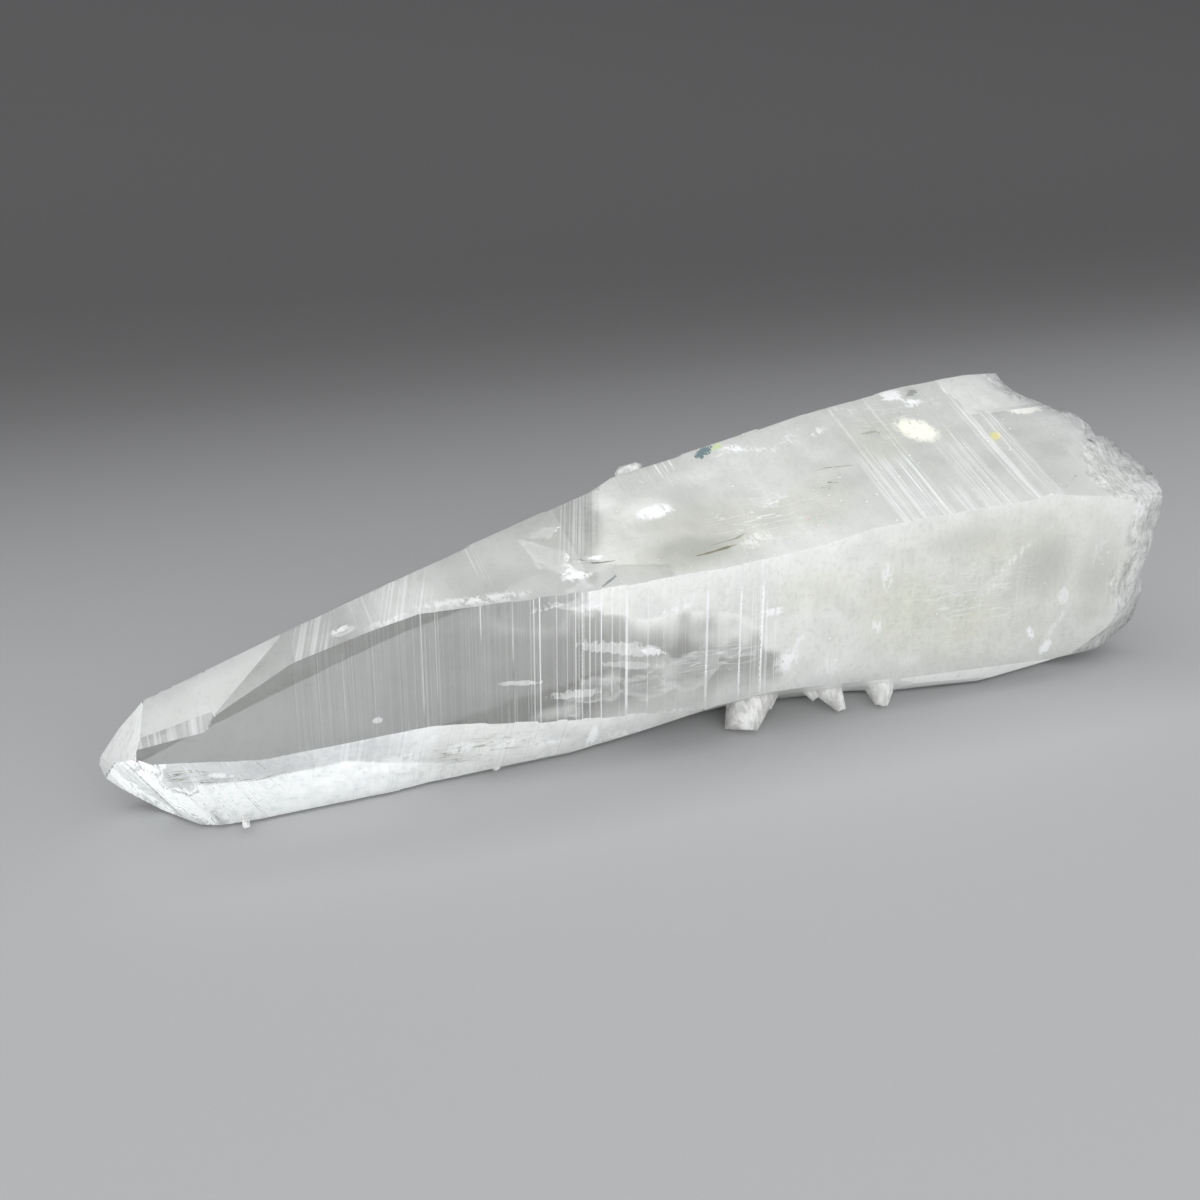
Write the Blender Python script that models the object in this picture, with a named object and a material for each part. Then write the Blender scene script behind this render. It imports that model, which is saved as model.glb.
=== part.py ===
"""Quartz crystal: a long tapering point, broken off at its root, with small crystals grown on it.

The driving dimensions are millimetres in the crystal's own axes: x runs along the growth axis
from the tip to the broken root, y runs back from the flat front face, and z runs up from the flat
that the crystal rests on. The finished solid is moved to its bottom centre and given in metres.
"""

import math

import bmesh
import bpy
from mathutils import Matrix, Vector, noise

MM = 0.001
WELD = 0.00001
FLAT_ANGLE = 0.001
COLLECTION = "quartz_crystal_point"
CUTTERS = "cutters"
NODE = "quartz_crystal"
COLOUR = (0.86, 0.87, 0.85, 1.0)
ROUGHNESS = 0.12

# Ends of the uncut body along the growth axis.
BODY_START = -6.0
BODY_END = 204.0

# Heights and depths of the long faces: (x, value) knots joined by straight lines.
TOP_HEIGHT = (
    (-6.0, 25.0), (12.5, 25.5), (24.5, 28.9), (36.5, 32.0), (45.0, 33.8), (76.0, 33.1),
    (104.0, 33.9), (113.0, 34.6), (119.5, 35.3), (127.5, 36.8), (135.0, 37.1), (158.0, 37.3),
    (168.0, 37.9), (204.0, 37.6),
)
BACK_TOP_HEIGHT = (
    (-6.0, 24.0), (25.5, 34.9), (84.0, 54.2), (88.5, 56.6), (112.5, 61.4), (130.5, 65.4),
    (156.0, 69.5), (172.0, 70.9), (204.0, 69.8),
)
BACK_DEPTH = (
    (-6.0, 23.0), (10.0, 24.0), (45.0, 29.0), (85.0, 42.0), (112.0, 50.0), (150.0, 56.0),
    (204.0, 59.0),
)
FRONT_LOW_HEIGHT = (
    (-6.0, 17.9), (10.0, 15.7), (19.0, 14.2), (46.0, 14.6), (54.0, 13.7),
    (65.0, 11.9), (85.0, 9.7), (100.0, 8.3), (115.0, 8.3), (136.0, 7.0), (159.0, 5.6),
    (204.0, 3.2),
)
FOOT_FRONT_DEPTH = (
    (-6.0, 6.0), (16.0, 6.4), (38.0, 8.0), (48.0, 9.2), (74.0, 9.9), (85.0, 11.8),
    (98.0, 14.7), (108.5, 15.9), (118.0, 14.9), (134.0, 12.5), (141.0, 9.4), (159.0, 6.2),
    (177.0, 9.0), (204.0, 9.7),
)
FOOT_BACK_DEPTH = (
    (-6.0, 17.0), (10.0, 18.0), (45.0, 21.0), (85.0, 29.0), (112.0, 34.0), (150.0, 38.0),
    (204.0, 40.0),
)

# Slopes of the long faces across the growth axis (rise over depth).
TOP_SLOPE = 0.466
BACK_TOP_SLOPE = 0.506
UNDERCUT_STEEP = math.tan(math.radians(60.0))
UNDERCUT_SHALLOW = math.tan(math.radians(30.0))
BACK_FOOT_SLOPE = math.tan(math.radians(30.0))

# Growth ledges: (x, how far the face steps out) with each step this wide along the axis.
LEDGE_WIDTH = 0.35
FRONT_LEDGES = (
    (55.5, -0.15), (60.3, 0.15), (64.4, -0.2), (67.9, 0.2), (69.7, -0.25), (72.3, 0.15),
    (75.9, -0.2), (80.5, 0.3), (84.4, -0.15), (95.6, 0.15), (102.1, -0.2), (106.5, 0.2),
)
TOP_LEDGES = (
    (80.6, 0.25), (89.8, -0.3), (97.7, 0.3), (100.6, -0.25), (137.0, 0.35), (143.2, -0.3),
    (145.8, 0.3), (159.4, -0.35), (164.6, 0.3), (169.4, -0.3),
)
BACK_TOP_LEDGES = ((58.0, 0.3), (73.5, -0.3), (104.0, 0.35), (121.0, -0.35), (149.0, 0.3))
BACK_LEDGES = ((66.0, 0.3), (77.0, -0.3), (118.0, 0.4), (139.0, -0.4), (163.0, 0.3))

# End faces of the tip: outward direction, and a point that the face passes through.
TIP_ROOF = ((-0.116, -0.735, 0.668), (12.5, 0.1, 22.5))
TIP_ROOF_LIP = ((-0.024, -0.970, 0.2425), (6.2, 0.0, 19.85))
TIP_RISER = ((-0.445, -0.311, 0.840), (12.5, 0.0, 22.5))
TIP_RISER_FOOT = ((-0.860, -0.050, 0.510), (12.5, 0.0, 22.5))
TIP_END = ((-0.933, -0.030, 0.355), (1.3, 0.0, 19.45))
TIP_LOWER = ((-0.673, -0.418, -0.610), (11.0, 9.5, 0.0))
TIP_LOWER_FLANK = ((-0.383, -0.699, -0.604), (1.41, 0.21, 17.38))
TIP_SHOULDER = ((-0.300, 0.555, 0.750), (2.9, 4.0, 25.1))
TIP_BACK = ((-0.600, 0.470, 0.648), (-2.2, 19.1, 10.6))
TIP_BACK_LOWER = ((-0.600, 0.550, -0.580), (1.5, 22.4, 1.8))
TIP_NOSE = ((-0.940, -0.200, -0.250), (-2.2, 18.5, 10.0))
TIP_FACES = (
    TIP_END, TIP_LOWER, TIP_LOWER_FLANK, TIP_SHOULDER, TIP_BACK, TIP_BACK_LOWER, TIP_NOSE,
)

# Flat corner worn on the top face above the front edge, near the root.
TOP_CORNER = ((0.112, -0.535, 0.837), (168.0, 0.0, 38.2))

# Underside near the root, rising off the resting flat.
ROOT_UNDERCUT = ((0.243, 0.0, -0.970), (177.0, 0.0, 0.0))

# Broken root: how far the crystal reaches along x at each depth, and how that changes low down.
BREAK_REACH = (
    (-8.0, 195.8), (0.0, 196.6), (5.0, 198.2), (8.5, 199.2), (12.0, 194.4), (14.5, 190.6),
    (20.6, 188.8), (22.2, 185.4), (28.0, 183.6), (34.0, 180.6), (45.0, 177.5), (66.0, 172.0),
)
BREAK_LOW_FRONT = (
    (-6.0, -27.0), (5.0, -20.5), (9.0, -12.2), (13.5, -8.0), (17.0, -4.8), (24.0, -2.0), (30.0, 0.0),
)
BREAK_LOW_INSIDE = ((-6.0, -6.0), (4.0, 1.6), (12.0, 3.4), (18.0, 0.5), (30.0, 0.0))
BREAK_FRONT_FADE = 9.0
BREAK_CELLS = 40
BREAK_SPAN_Y = (-6.0, 66.0)
BREAK_SPAN_Z = (-6.0, 66.0)
BREAK_BACK_X = 215.0
BREAK_ROUGHNESS = ((9.0, 1.1), (3.5, 0.5))

# Shell-shaped chips out of the break: centre and radius of each hollow.
SHELL_CHIPS = (
    ((196.2, -9.6, 62.4), 30.0),
    ((200.9, -23.5, 27.0), 26.0),
    ((195.4, -13.2, 16.5), 16.0),
    ((214.0, 24.0, 30.0), 24.0),
)
SHELL_DIVISIONS = 4

# Slab lifted off the top face behind its front edge, near the root: the line of its step across
# that face, and how far it goes down for each millimetre towards the root.
TOP_SLAB_LINE = ((172.9, 21.5), (188.1, 19.3))
TOP_SLAB_FALL = 0.025

# Small crystals: foot, tip, radius of the prism and length of its point.
SMALL_CRYSTALS = (
    ("front_stub", (110.5, 9.8, 6.6), (104.6, 5.0, 0.3), 3.2, 0.8),
    ("front_stub_side", (113.6, 10.5, 6.0), (109.0, 6.6, 1.0), 2.4, 1.2),
    ("middle_stub", (127.0, 9.4, 6.0), (127.2, 4.9, 0.1), 2.6, 2.6),
    ("middle_stub_side", (123.4, 10.0, 5.6), (122.6, 7.0, 0.9), 1.9, 1.4),
    ("rear_stub", (137.2, 7.0, 6.0), (134.8, 3.6, 0.1), 2.2, 2.0),
    ("ridge_bud", (93.9, 28.0, 43.0), (93.3, 28.5, 45.6), 2.3, 0.5),
    ("foot_bud", (60.0, 10.2, 1.8), (59.6, 7.0, 1.0), 0.9, 0.8),
    ("tip_foot_bud", (17.2, 8.2, 1.2), (16.7, 4.6, 0.9), 0.7, 0.6),
)
SMALL_CRYSTAL_CLEARANCE = 0.1

MARGIN = 60.0


def along(knots, x):
    """Value at x of a law given by knots joined with straight lines."""
    if x <= knots[0][0]:
        return knots[0][1]
    for (x0, v0), (x1, v1) in zip(knots, knots[1:]):
        if x <= x1:
            return v0 + (v1 - v0) * (x - x0) / (x1 - x0)
    return knots[-1][1]


def ledge_offset(ledges, x):
    """Sum of the growth ledges passed at x, each rising over the ledge width."""
    total = 0.0
    for place, rise in ledges:
        share = (x - place) / LEDGE_WIDTH + 0.5
        total += rise * min(1.0, max(0.0, share))
    return total


def stations():
    """Places along the axis where a section is needed: every knot and both ends of every ledge."""
    laws = (TOP_HEIGHT, BACK_TOP_HEIGHT, BACK_DEPTH, FRONT_LOW_HEIGHT, FOOT_FRONT_DEPTH, FOOT_BACK_DEPTH)
    places = [knot[0] for law in laws for knot in law]
    for place, _ in FRONT_LEDGES + TOP_LEDGES + BACK_TOP_LEDGES + BACK_LEDGES:
        places.append(place - LEDGE_WIDTH / 2)
        places.append(place + LEDGE_WIDTH / 2)
    kept = []
    for place in sorted(places):
        if not kept or place - kept[-1] > LEDGE_WIDTH / 4:
            kept.append(place)
    return kept


def section_lines(x):
    """The eight faces cut across at x, as (normal y, normal z, reach), anticlockwise from the back."""
    front = -ledge_offset(FRONT_LEDGES, x)
    top = along(TOP_HEIGHT, x) + ledge_offset(TOP_LEDGES, x)
    back_top = along(BACK_TOP_HEIGHT, x) + ledge_offset(BACK_TOP_LEDGES, x)
    back = along(BACK_DEPTH, x) + ledge_offset(BACK_LEDGES, x)
    shallow = along(FOOT_FRONT_DEPTH, x) / UNDERCUT_STEEP
    return (
        (1.0, 0.0, back),
        (BACK_TOP_SLOPE, 1.0, back_top),
        (-TOP_SLOPE, 1.0, top),
        (-1.0, 0.0, -front),
        (-UNDERCUT_STEEP, -1.0, -along(FRONT_LOW_HEIGHT, x)),
        (-UNDERCUT_SHALLOW, -1.0, -shallow),
        (0.0, -1.0, 0.0),
        (BACK_FOOT_SLOPE, -1.0, BACK_FOOT_SLOPE * along(FOOT_BACK_DEPTH, x)),
    )


def clip(polygon, line, label):
    """Cut a convex polygon of (point, label of the edge that starts there) by one line."""
    normal_y, normal_z, reach = line
    result = []
    for index, ((y, z), edge) in enumerate(polygon):
        (next_y, next_z), _ = polygon[(index + 1) % len(polygon)]
        here = normal_y * y + normal_z * z - reach
        there = normal_y * next_y + normal_z * next_z - reach
        if here <= 0.0:
            result.append(((y, z), edge))
        if here * there < 0.0:
            share = here / (here - there)
            crossing = (y + (next_y - y) * share, z + (next_z - z) * share)
            result.append((crossing, label if here <= 0.0 else edge))
    return result


def section(x):
    """Corner points of the section at x, one per face; a face that has gone leaves a repeated corner."""
    size = 2.0 * MARGIN
    square = ((-size, -size), (size, -size), (size, size), (-size, size))
    polygon = [(corner, None) for corner in square]
    lines = section_lines(x)
    for label, line in enumerate(lines):
        polygon = clip(polygon, line, label)
    starts = {edge: point for point, edge in polygon}
    corners = []
    for label in range(len(lines)):
        step = label
        while step % len(lines) not in starts:
            step += 1
        corners.append(starts[step % len(lines)])
    return corners


def new_object(name, mesh_builder, collection):
    """Turn a bmesh, filled by mesh_builder, into an object in the collection."""
    mesh = bpy.data.meshes.new(name)
    bm = bmesh.new()
    mesh_builder(bm)
    bmesh.ops.remove_doubles(bm, verts=bm.verts, dist=WELD)
    bmesh.ops.dissolve_degenerate(bm, edges=bm.edges, dist=WELD)
    bmesh.ops.recalc_face_normals(bm, faces=bm.faces)
    bm.to_mesh(mesh)
    bm.free()
    item = bpy.data.objects.new(name, mesh)
    collection.objects.link(item)
    return item


def loft_body(bm):
    """Skin the sections into one closed body."""
    rings = []
    for x in stations():
        rings.append([bm.verts.new((x * MM, y * MM, z * MM)) for y, z in section(x)])
    count = len(rings[0])
    for ring, following in zip(rings, rings[1:]):
        for side in range(count):
            other = (side + 1) % count
            bm.faces.new((ring[side], ring[other], following[other], following[side]))
    bm.faces.new(rings[0])
    bm.faces.new(list(reversed(rings[-1])))


def cleave(bm, face):
    """Cut away what lies outside one flat face and close the cut."""
    direction, point = face
    geometry = bm.verts[:] + bm.edges[:] + bm.faces[:]
    cut = bmesh.ops.bisect_plane(
        bm, geom=geometry, dist=WELD / 10, plane_co=Vector(point) * MM,
        plane_no=Vector(direction), clear_outer=True,
    )
    edges = [item for item in cut["geom_cut"] if isinstance(item, bmesh.types.BMEdge)]
    bmesh.ops.contextual_create(bm, geom=edges)


def outside_of(face):
    """The same flat face looking the other way."""
    direction, point = face
    return tuple(-value for value in direction), point


def block(bm, low, high):
    """A box between two corners given in millimetres."""
    made = bmesh.ops.create_cube(bm, size=1.0)
    size = [(b - a) * MM for a, b in zip(low, high)]
    middle = [(a + b) / 2 * MM for a, b in zip(low, high)]
    bmesh.ops.scale(bm, verts=made["verts"], vec=size)
    bmesh.ops.translate(bm, verts=made["verts"], vec=middle)


def crystal_body(bm):
    """The long body with the end faces of the tip cut on it."""
    loft_body(bm)
    bmesh.ops.remove_doubles(bm, verts=bm.verts, dist=WELD)
    bmesh.ops.dissolve_degenerate(bm, edges=bm.edges, dist=WELD)
    for face in TIP_FACES + (TOP_CORNER, ROOT_UNDERCUT):
        cleave(bm, face)


def notch(roof, riser):
    """A wedge above the tip's roof and in front of the riser behind it."""
    def build(bm):
        block(bm, (-MARGIN, -MARGIN, -MARGIN), (MARGIN, MARGIN, MARGIN + 10.0))
        cleave(bm, outside_of(roof))
        cleave(bm, outside_of(riser))
    return build


def break_reach(y, z):
    """How far along x the broken root reaches at a place across it."""
    near_front = min(1.0, max(0.0, 1.0 - y / BREAK_FRONT_FADE))
    low = near_front * along(BREAK_LOW_FRONT, z) + (1.0 - near_front) * along(BREAK_LOW_INSIDE, z)
    rough = 0.0
    for cell, height in BREAK_ROUGHNESS:
        rough += height * noise.noise(Vector((y / cell, z / cell, cell)))
    return along(BREAK_REACH, y) + low + rough


def break_block(bm):
    """Everything beyond the broken root: a grid with the break's relief, carried back to a flat."""
    bmesh.ops.create_grid(bm, x_segments=BREAK_CELLS, y_segments=BREAK_CELLS, size=0.5)
    width = BREAK_SPAN_Y[1] - BREAK_SPAN_Y[0]
    height = BREAK_SPAN_Z[1] - BREAK_SPAN_Z[0]
    for vert in bm.verts:
        y = BREAK_SPAN_Y[0] + (vert.co.x + 0.5) * width
        z = BREAK_SPAN_Z[0] + (vert.co.y + 0.5) * height
        vert.co = Vector((break_reach(y, z), y, z)) * MM
    bmesh.ops.triangulate(bm, faces=bm.faces[:])
    rim = [edge for edge in bm.edges if edge.is_boundary]
    back = bmesh.ops.extrude_edge_only(bm, edges=rim)["geom"]
    for vert in [item for item in back if isinstance(item, bmesh.types.BMVert)]:
        vert.co.x = BREAK_BACK_X * MM
    bmesh.ops.holes_fill(bm, edges=[edge for edge in bm.edges if edge.is_boundary], sides=0)


def shell_chip(centre, radius):
    """A ball whose overlap with the crystal leaves a shell-shaped hollow."""
    def build(bm):
        bmesh.ops.create_icosphere(bm, subdivisions=SHELL_DIVISIONS, radius=radius * MM)
        bmesh.ops.translate(bm, verts=bm.verts, vec=Vector(centre) * MM)
    return build


def top_slab(bm):
    """What is missing behind the step across the top face: a wedge that deepens towards the root."""
    (near_x, near_y), (far_x, far_y) = TOP_SLAB_LINE
    height = along(TOP_HEIGHT, near_x) + TOP_SLOPE * near_y
    block(bm, (near_x, far_y - 10.0, 0.0), (BODY_END + 10.0, MARGIN, MARGIN + 20.0))
    cleave(bm, ((far_y - near_y, near_x - far_x, 0.0), (near_x, near_y, height)))
    cleave(bm, ((-TOP_SLAB_FALL, TOP_SLOPE, -1.0), (near_x, near_y, height)))


def small_crystal(foot, tip, radius, point):
    """A six-sided prism with a six-sided point, grown from its foot to its tip."""
    def build(bm):
        growth = Vector(tip) - Vector(foot)
        length = growth.length - point
        bmesh.ops.create_cone(
            bm, cap_ends=True, segments=6, radius1=radius * MM, radius2=radius * MM, depth=length * MM,
        )
        bmesh.ops.translate(bm, verts=bm.verts, vec=(0.0, 0.0, length * MM / 2))
        top = max(bm.faces, key=lambda face: face.calc_center_median().z)
        bmesh.ops.poke(bm, faces=[top], offset=point * MM)
        turn = Vector((0.0, 0.0, 1.0)).rotation_difference(growth).to_matrix().to_4x4()
        bmesh.ops.transform(bm, matrix=Matrix.Translation(Vector(foot) * MM) @ turn, verts=bm.verts)
        cleave(bm, ((0.0, 0.0, -1.0), (0.0, 0.0, SMALL_CRYSTAL_CLEARANCE)))
    return build


def combine(target, tool, operation):
    """Add a Boolean modifier with the exact solver."""
    modifier = target.modifiers.new(f"{operation.lower()}_{tool.name}", "BOOLEAN")
    modifier.operation = operation
    modifier.solver = "EXACT"
    modifier.object = tool


def add_tool(target, name, builder, collection, operation):
    """Make a cutter, or a crystal to be fused, and combine it with the target."""
    tool = new_object(name, builder, collection)
    tool.hide_render = True
    tool.display_type = "WIRE"
    combine(target, tool, operation)


def bake(item):
    """Replace the object's mesh with its evaluated mesh, moved to its bottom centre."""
    evaluated = item.evaluated_get(bpy.context.evaluated_depsgraph_get())
    mesh = bpy.data.meshes.new_from_object(evaluated)
    item.modifiers.clear()
    bm = bmesh.new()
    bm.from_mesh(mesh)
    bmesh.ops.remove_doubles(bm, verts=bm.verts, dist=WELD)
    bmesh.ops.dissolve_limit(bm, angle_limit=FLAT_ANGLE, verts=bm.verts, edges=bm.edges)
    bmesh.ops.dissolve_degenerate(bm, edges=bm.edges, dist=WELD)
    bmesh.ops.triangulate(bm, faces=bm.faces[:])
    low = Vector([min(vert.co[axis] for vert in bm.verts) for axis in range(3)])
    high = Vector([max(vert.co[axis] for vert in bm.verts) for axis in range(3)])
    bmesh.ops.translate(bm, verts=bm.verts, vec=(-(low.x + high.x) / 2, -(low.y + high.y) / 2, -low.z))
    bm.to_mesh(mesh)
    bm.free()
    item.data = mesh


def quartz_material():
    """Principled material with the crystal's own look."""
    material = bpy.data.materials.new("quartz")
    material.use_nodes = True
    shader = material.node_tree.nodes["Principled BSDF"]
    shader.inputs["Base Color"].default_value = COLOUR
    shader.inputs["Roughness"].default_value = ROUGHNESS
    shader.inputs["Metallic"].default_value = 0.0
    return material


def clear_scene():
    """Start from an empty scene."""
    for item in list(bpy.data.objects):
        bpy.data.objects.remove(item, do_unlink=True)


def new_collection(name):
    """A collection linked to the scene."""
    collection = bpy.data.collections.new(name)
    bpy.context.scene.collection.children.link(collection)
    return collection


def main():
    """Build the crystal."""
    clear_scene()
    parts = new_collection(COLLECTION)
    cutters = new_collection(CUTTERS)
    crystal = new_object(NODE, crystal_body, parts)
    add_tool(crystal, "cut_roof", notch(TIP_ROOF, TIP_RISER), cutters, "DIFFERENCE")
    add_tool(crystal, "cut_roof_lip", notch(TIP_ROOF_LIP, TIP_RISER_FOOT), cutters, "DIFFERENCE")
    add_tool(crystal, "cut_top_slab", top_slab, cutters, "DIFFERENCE")
    add_tool(crystal, "cut_break", break_block, cutters, "DIFFERENCE")
    for index, (centre, radius) in enumerate(SHELL_CHIPS):
        add_tool(crystal, f"cut_shell_{index}", shell_chip(centre, radius), cutters, "DIFFERENCE")
    for name, foot, tip, radius, point in SMALL_CRYSTALS:
        builder = small_crystal(foot, tip, radius, point)
        add_tool(crystal, f"grow_{name}", builder, cutters, "UNION")
    bake(crystal)
    crystal.data.materials.clear()
    crystal.data.materials.append(quartz_material())


main()
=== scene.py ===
"""Quartz crystal point: faces, growth lines, clouds and small crystals, worked out around its solid."""

import math

import bpy
import numpy as np
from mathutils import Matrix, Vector


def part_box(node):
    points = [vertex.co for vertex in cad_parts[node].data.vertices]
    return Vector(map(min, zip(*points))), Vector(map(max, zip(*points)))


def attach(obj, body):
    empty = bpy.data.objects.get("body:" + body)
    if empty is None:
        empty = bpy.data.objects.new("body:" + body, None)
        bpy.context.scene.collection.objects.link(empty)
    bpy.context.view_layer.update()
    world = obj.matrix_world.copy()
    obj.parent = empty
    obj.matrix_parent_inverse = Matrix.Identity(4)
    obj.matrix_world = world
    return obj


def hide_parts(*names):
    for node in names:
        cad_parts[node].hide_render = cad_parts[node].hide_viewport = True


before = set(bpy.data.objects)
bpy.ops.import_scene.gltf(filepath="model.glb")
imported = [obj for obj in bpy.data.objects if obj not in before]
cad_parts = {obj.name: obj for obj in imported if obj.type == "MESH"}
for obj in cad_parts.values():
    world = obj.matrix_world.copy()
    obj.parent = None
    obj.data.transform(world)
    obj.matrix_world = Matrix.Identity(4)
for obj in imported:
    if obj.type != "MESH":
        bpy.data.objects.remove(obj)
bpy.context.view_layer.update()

bl_info = {
    "name": "Quartz Crystal Point",
    "version": (1, 0, 0),
    "blender": (4, 5, 0),
    "location": "View3D > Sidebar > Crystal",
    "description": "Grows a quartz point with its growth lines, clouds and small crystals",
    "category": "Object",
}

NODE = "quartz_crystal"
BODY = "root"
MM = 0.001

# Looks of the quartz: the absorption is a colour and a density.
QUARTZ_IOR = 1.544
MILK_ROUGHNESS = 0.22
CLEAR = (1.0, 1.0, 1.0, 1.0)
ABSORPTION = ((0.93, 0.95, 0.92, 1.0), 3.0)

# Lowest corner of the crystal in its own axes, in millimetres: x along the growth axis from the
# tip, y back from the front face, z up from the flat it rests on.
OWN_LOW = np.array((-2.496, 0.0, 0.0))

# ---------------------------------------------------------------- shape of the crystal, in mm

TOP_HEIGHT = (
    (-6, 25), (12.5, 25.5), (24.5, 28.9), (36.5, 32), (45, 33.8), (76, 33.1), (104, 33.9), (113, 34.6),
    (119.5, 35.3), (127.5, 36.8), (135, 37.1), (158, 37.3), (168, 37.9), (204, 37.6),
)
BACK_TOP_HEIGHT = (
    (-6, 24), (25.5, 34.9), (84, 54.2), (88.5, 56.6), (112.5, 61.4), (130.5, 65.4), (156, 69.5),
    (172, 70.9), (204, 69.8),
)
BACK_DEPTH = ((-6, 23), (10, 24), (45, 29), (85, 42), (112, 50), (150, 56), (204, 59))
FRONT_LOW_HEIGHT = (
    (-6, 17.9), (10, 15.7), (19, 14.2), (46, 14.6), (54, 13.7), (65, 11.9), (85, 9.7), (100, 8.3),
    (115, 8.3), (136, 7), (159, 5.6), (204, 3.2),
)
FOOT_FRONT_DEPTH = (
    (-6, 6), (16, 6.4), (38, 8), (48, 9.2), (74, 9.9), (85, 11.8), (98, 14.7), (108.5, 15.9),
    (118, 14.9), (134, 12.5), (141, 9.4), (159, 6.2), (177, 9), (204, 9.7),
)
FOOT_BACK_DEPTH = ((-6, 17), (10, 18), (45, 21), (85, 29), (112, 34), (150, 38), (204, 40))
TOP_SLOPE = 0.466
BACK_TOP_SLOPE = 0.506
STEEP = math.tan(math.radians(60.0))
SHALLOW = math.tan(math.radians(30.0))

# Growth ledges: x and step outwards. Each rises over this width.
LEDGE_WIDTH = 0.35
FRONT_LEDGES = (
    (55.5, -0.15), (60.3, 0.15), (64.4, -0.2), (67.9, 0.2), (69.7, -0.25), (72.3, 0.15), (75.9, -0.2),
    (80.5, 0.3), (84.4, -0.15), (95.6, 0.15), (102.1, -0.2), (106.5, 0.2),
)
TOP_LEDGES = ((137, 0.35), (143.2, -0.3), (145.8, 0.3), (159.4, -0.35), (164.6, 0.3), (169.4, -0.3))
BACK_TOP_LEDGES = ((58, 0.3), (73.5, -0.3), (104, 0.35), (121, -0.35), (149, 0.3))
BACK_LEDGES = ((66, 0.3), (77, -0.3), (118, 0.4), (139, -0.4), (163, 0.3))
ALL_LEDGES = (FRONT_LEDGES, TOP_LEDGES, BACK_TOP_LEDGES, BACK_LEDGES)

# Flat faces that cut the long body: outward direction, and a point on the face.
CUTS = (
    ((-0.933, -0.03, 0.355), (1.3, 0, 19.45)), ((-0.673, -0.418, -0.61), (11, 9.5, 0)),
    ((-0.383, -0.699, -0.604), (1.41, 0.21, 17.38)), ((-0.3, 0.555, 0.75), (2.9, 4, 25.1)),
    ((-0.6, 0.47, 0.648), (-2.2, 19.1, 10.6)), ((-0.6, 0.55, -0.58), (1.5, 22.4, 1.8)),
    ((-0.94, -0.2, -0.25), (-2.2, 18.5, 10)), ((0.112, -0.535, 0.837), (168, 0, 38.2)),
    ((0.243, 0, -0.97), (177, 0, 0)),
)
# Notches: what lies outside both faces of a pair is missing.
SLAB_HEIGHT = 37.8 + TOP_SLOPE * 21.5
NOTCHES = (
    (((-0.116, -0.735, 0.668), (12.5, 0.1, 22.5)), ((-0.445, -0.311, 0.840), (12.5, 0.0, 22.5))),
    (((-0.024, -0.970, 0.2425), (6.2, 0.0, 19.85)), ((-0.860, -0.050, 0.510), (12.5, 0.0, 22.5))),
    (((2.2, 15.2, 0.0), (172.9, 21.5, 0.0)), ((0.025, -0.466, 1.0), (172.9, 21.5, SLAB_HEIGHT))),
)
# Kinds of face: the long faces in order round the crystal, then the cuts, the notches, shells and break.
BACK, BACK_TOP, TOP, FRONT, UNDER_STEEP, UNDER_SHALLOW = range(6)
LOWER, LOWER_FLANK, TIP_KIND, CORNER, LIP, SHELL_KIND, BREAK_KIND = 9, 10, 14, 15, 19, 23, 30

# How white each kind of face is where the crystal is clear, and how much it glows, in the order of the
# kinds: the long faces, the flat cuts, the notches' faces, then shells and break.
FACE_HAZE = np.array(
    [0.4, 0.8, 0.46, 0.16, 0.85, 0.95, 0.3, 0.3] + [0.9, 0.95, 0.92, 0.5, 0.5, 0.5, 0.85, 0.42, 0.5]
    + [0.66, 0.42, 0.3, 0.5, 0.3, 0.3] + [0.4] * 8
)
FACE_GLOW = np.array(
    [0, 0, 0, 0, 0.12, 0.16, 0, 0] + [0.2, 0.3, 0.2, 0, 0, 0, 0.18, 0, 0] + [0, 0.03, 0.1, 0.05, 0, 0]
    + [0] * 8
)

# Broken root.
BREAK_REACH = (
    (-8, 195.8), (0, 196.6), (5, 198.2), (8.5, 199.2), (12, 194.4), (14.5, 190.6), (20.6, 188.8),
    (22.2, 185.4), (28, 183.6), (34, 180.6), (45, 177.5), (66, 172),
)
BREAK_LOW_FRONT = ((-6, -27), (5, -20.5), (9, -12.2), (13.5, -8), (17, -4.8), (24, -2), (30, 0))
BREAK_LOW_INSIDE = ((-6, -6), (4, 1.6), (12, 3.4), (18, 0.5), (30, 0))
BREAK_FRONT_FADE = 9.0
SHELL_CHIPS = (
    ((196.2, -9.6, 62.4), 30), ((200.9, -23.5, 27), 26), ((195.4, -13.2, 16.5), 16), ((214, 24, 30), 24),
)

# Bowls in the middle of the break, where shells of quartz came away: centre and radius.
BREAK_BOWLS = (
    ((193, 30, 16), 11), ((192.9, 29, 34), 12), ((190.8, 37, 24), 13), ((190.7, 40, 42), 14),
    ((189.5, 47, 16), 13), ((185.6, 50, 33), 11), ((188, 47, 55), 13), ((188.3, 33, 50), 9),
    ((193.1, 22, 25), 9),
)

# Line inside the crystal that the rings are drawn around: (x, y, z).
AXIS = ((-2.5, 22.9, 7.35), (3, 14, 11), (12, 12.5, 12), (60, 14, 18), (120, 22, 20), (204, 24, 20))

# Columns round each ring, in degrees from +y towards +z: closer together on the front and top faces.
ANGLES = np.concatenate((
    np.linspace(70.0, 262.0, 84, endpoint=False), np.linspace(262.0, 430.0, 36, endpoint=False)
))
RING = len(ANGLES)
# From here the rings lean, so that the last one lies on the broken rim.
LEAN_START = 171.0
LEAN_RINGS = 30
# First guess of the rim's place, and how often it is brought nearer to the break.
RIM_GUESS = 185.0
RIM_PASSES = 12
# Rings of the polar grid over the break.
BREAK_RINGS = 60
TIP_X = -2.49
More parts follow.
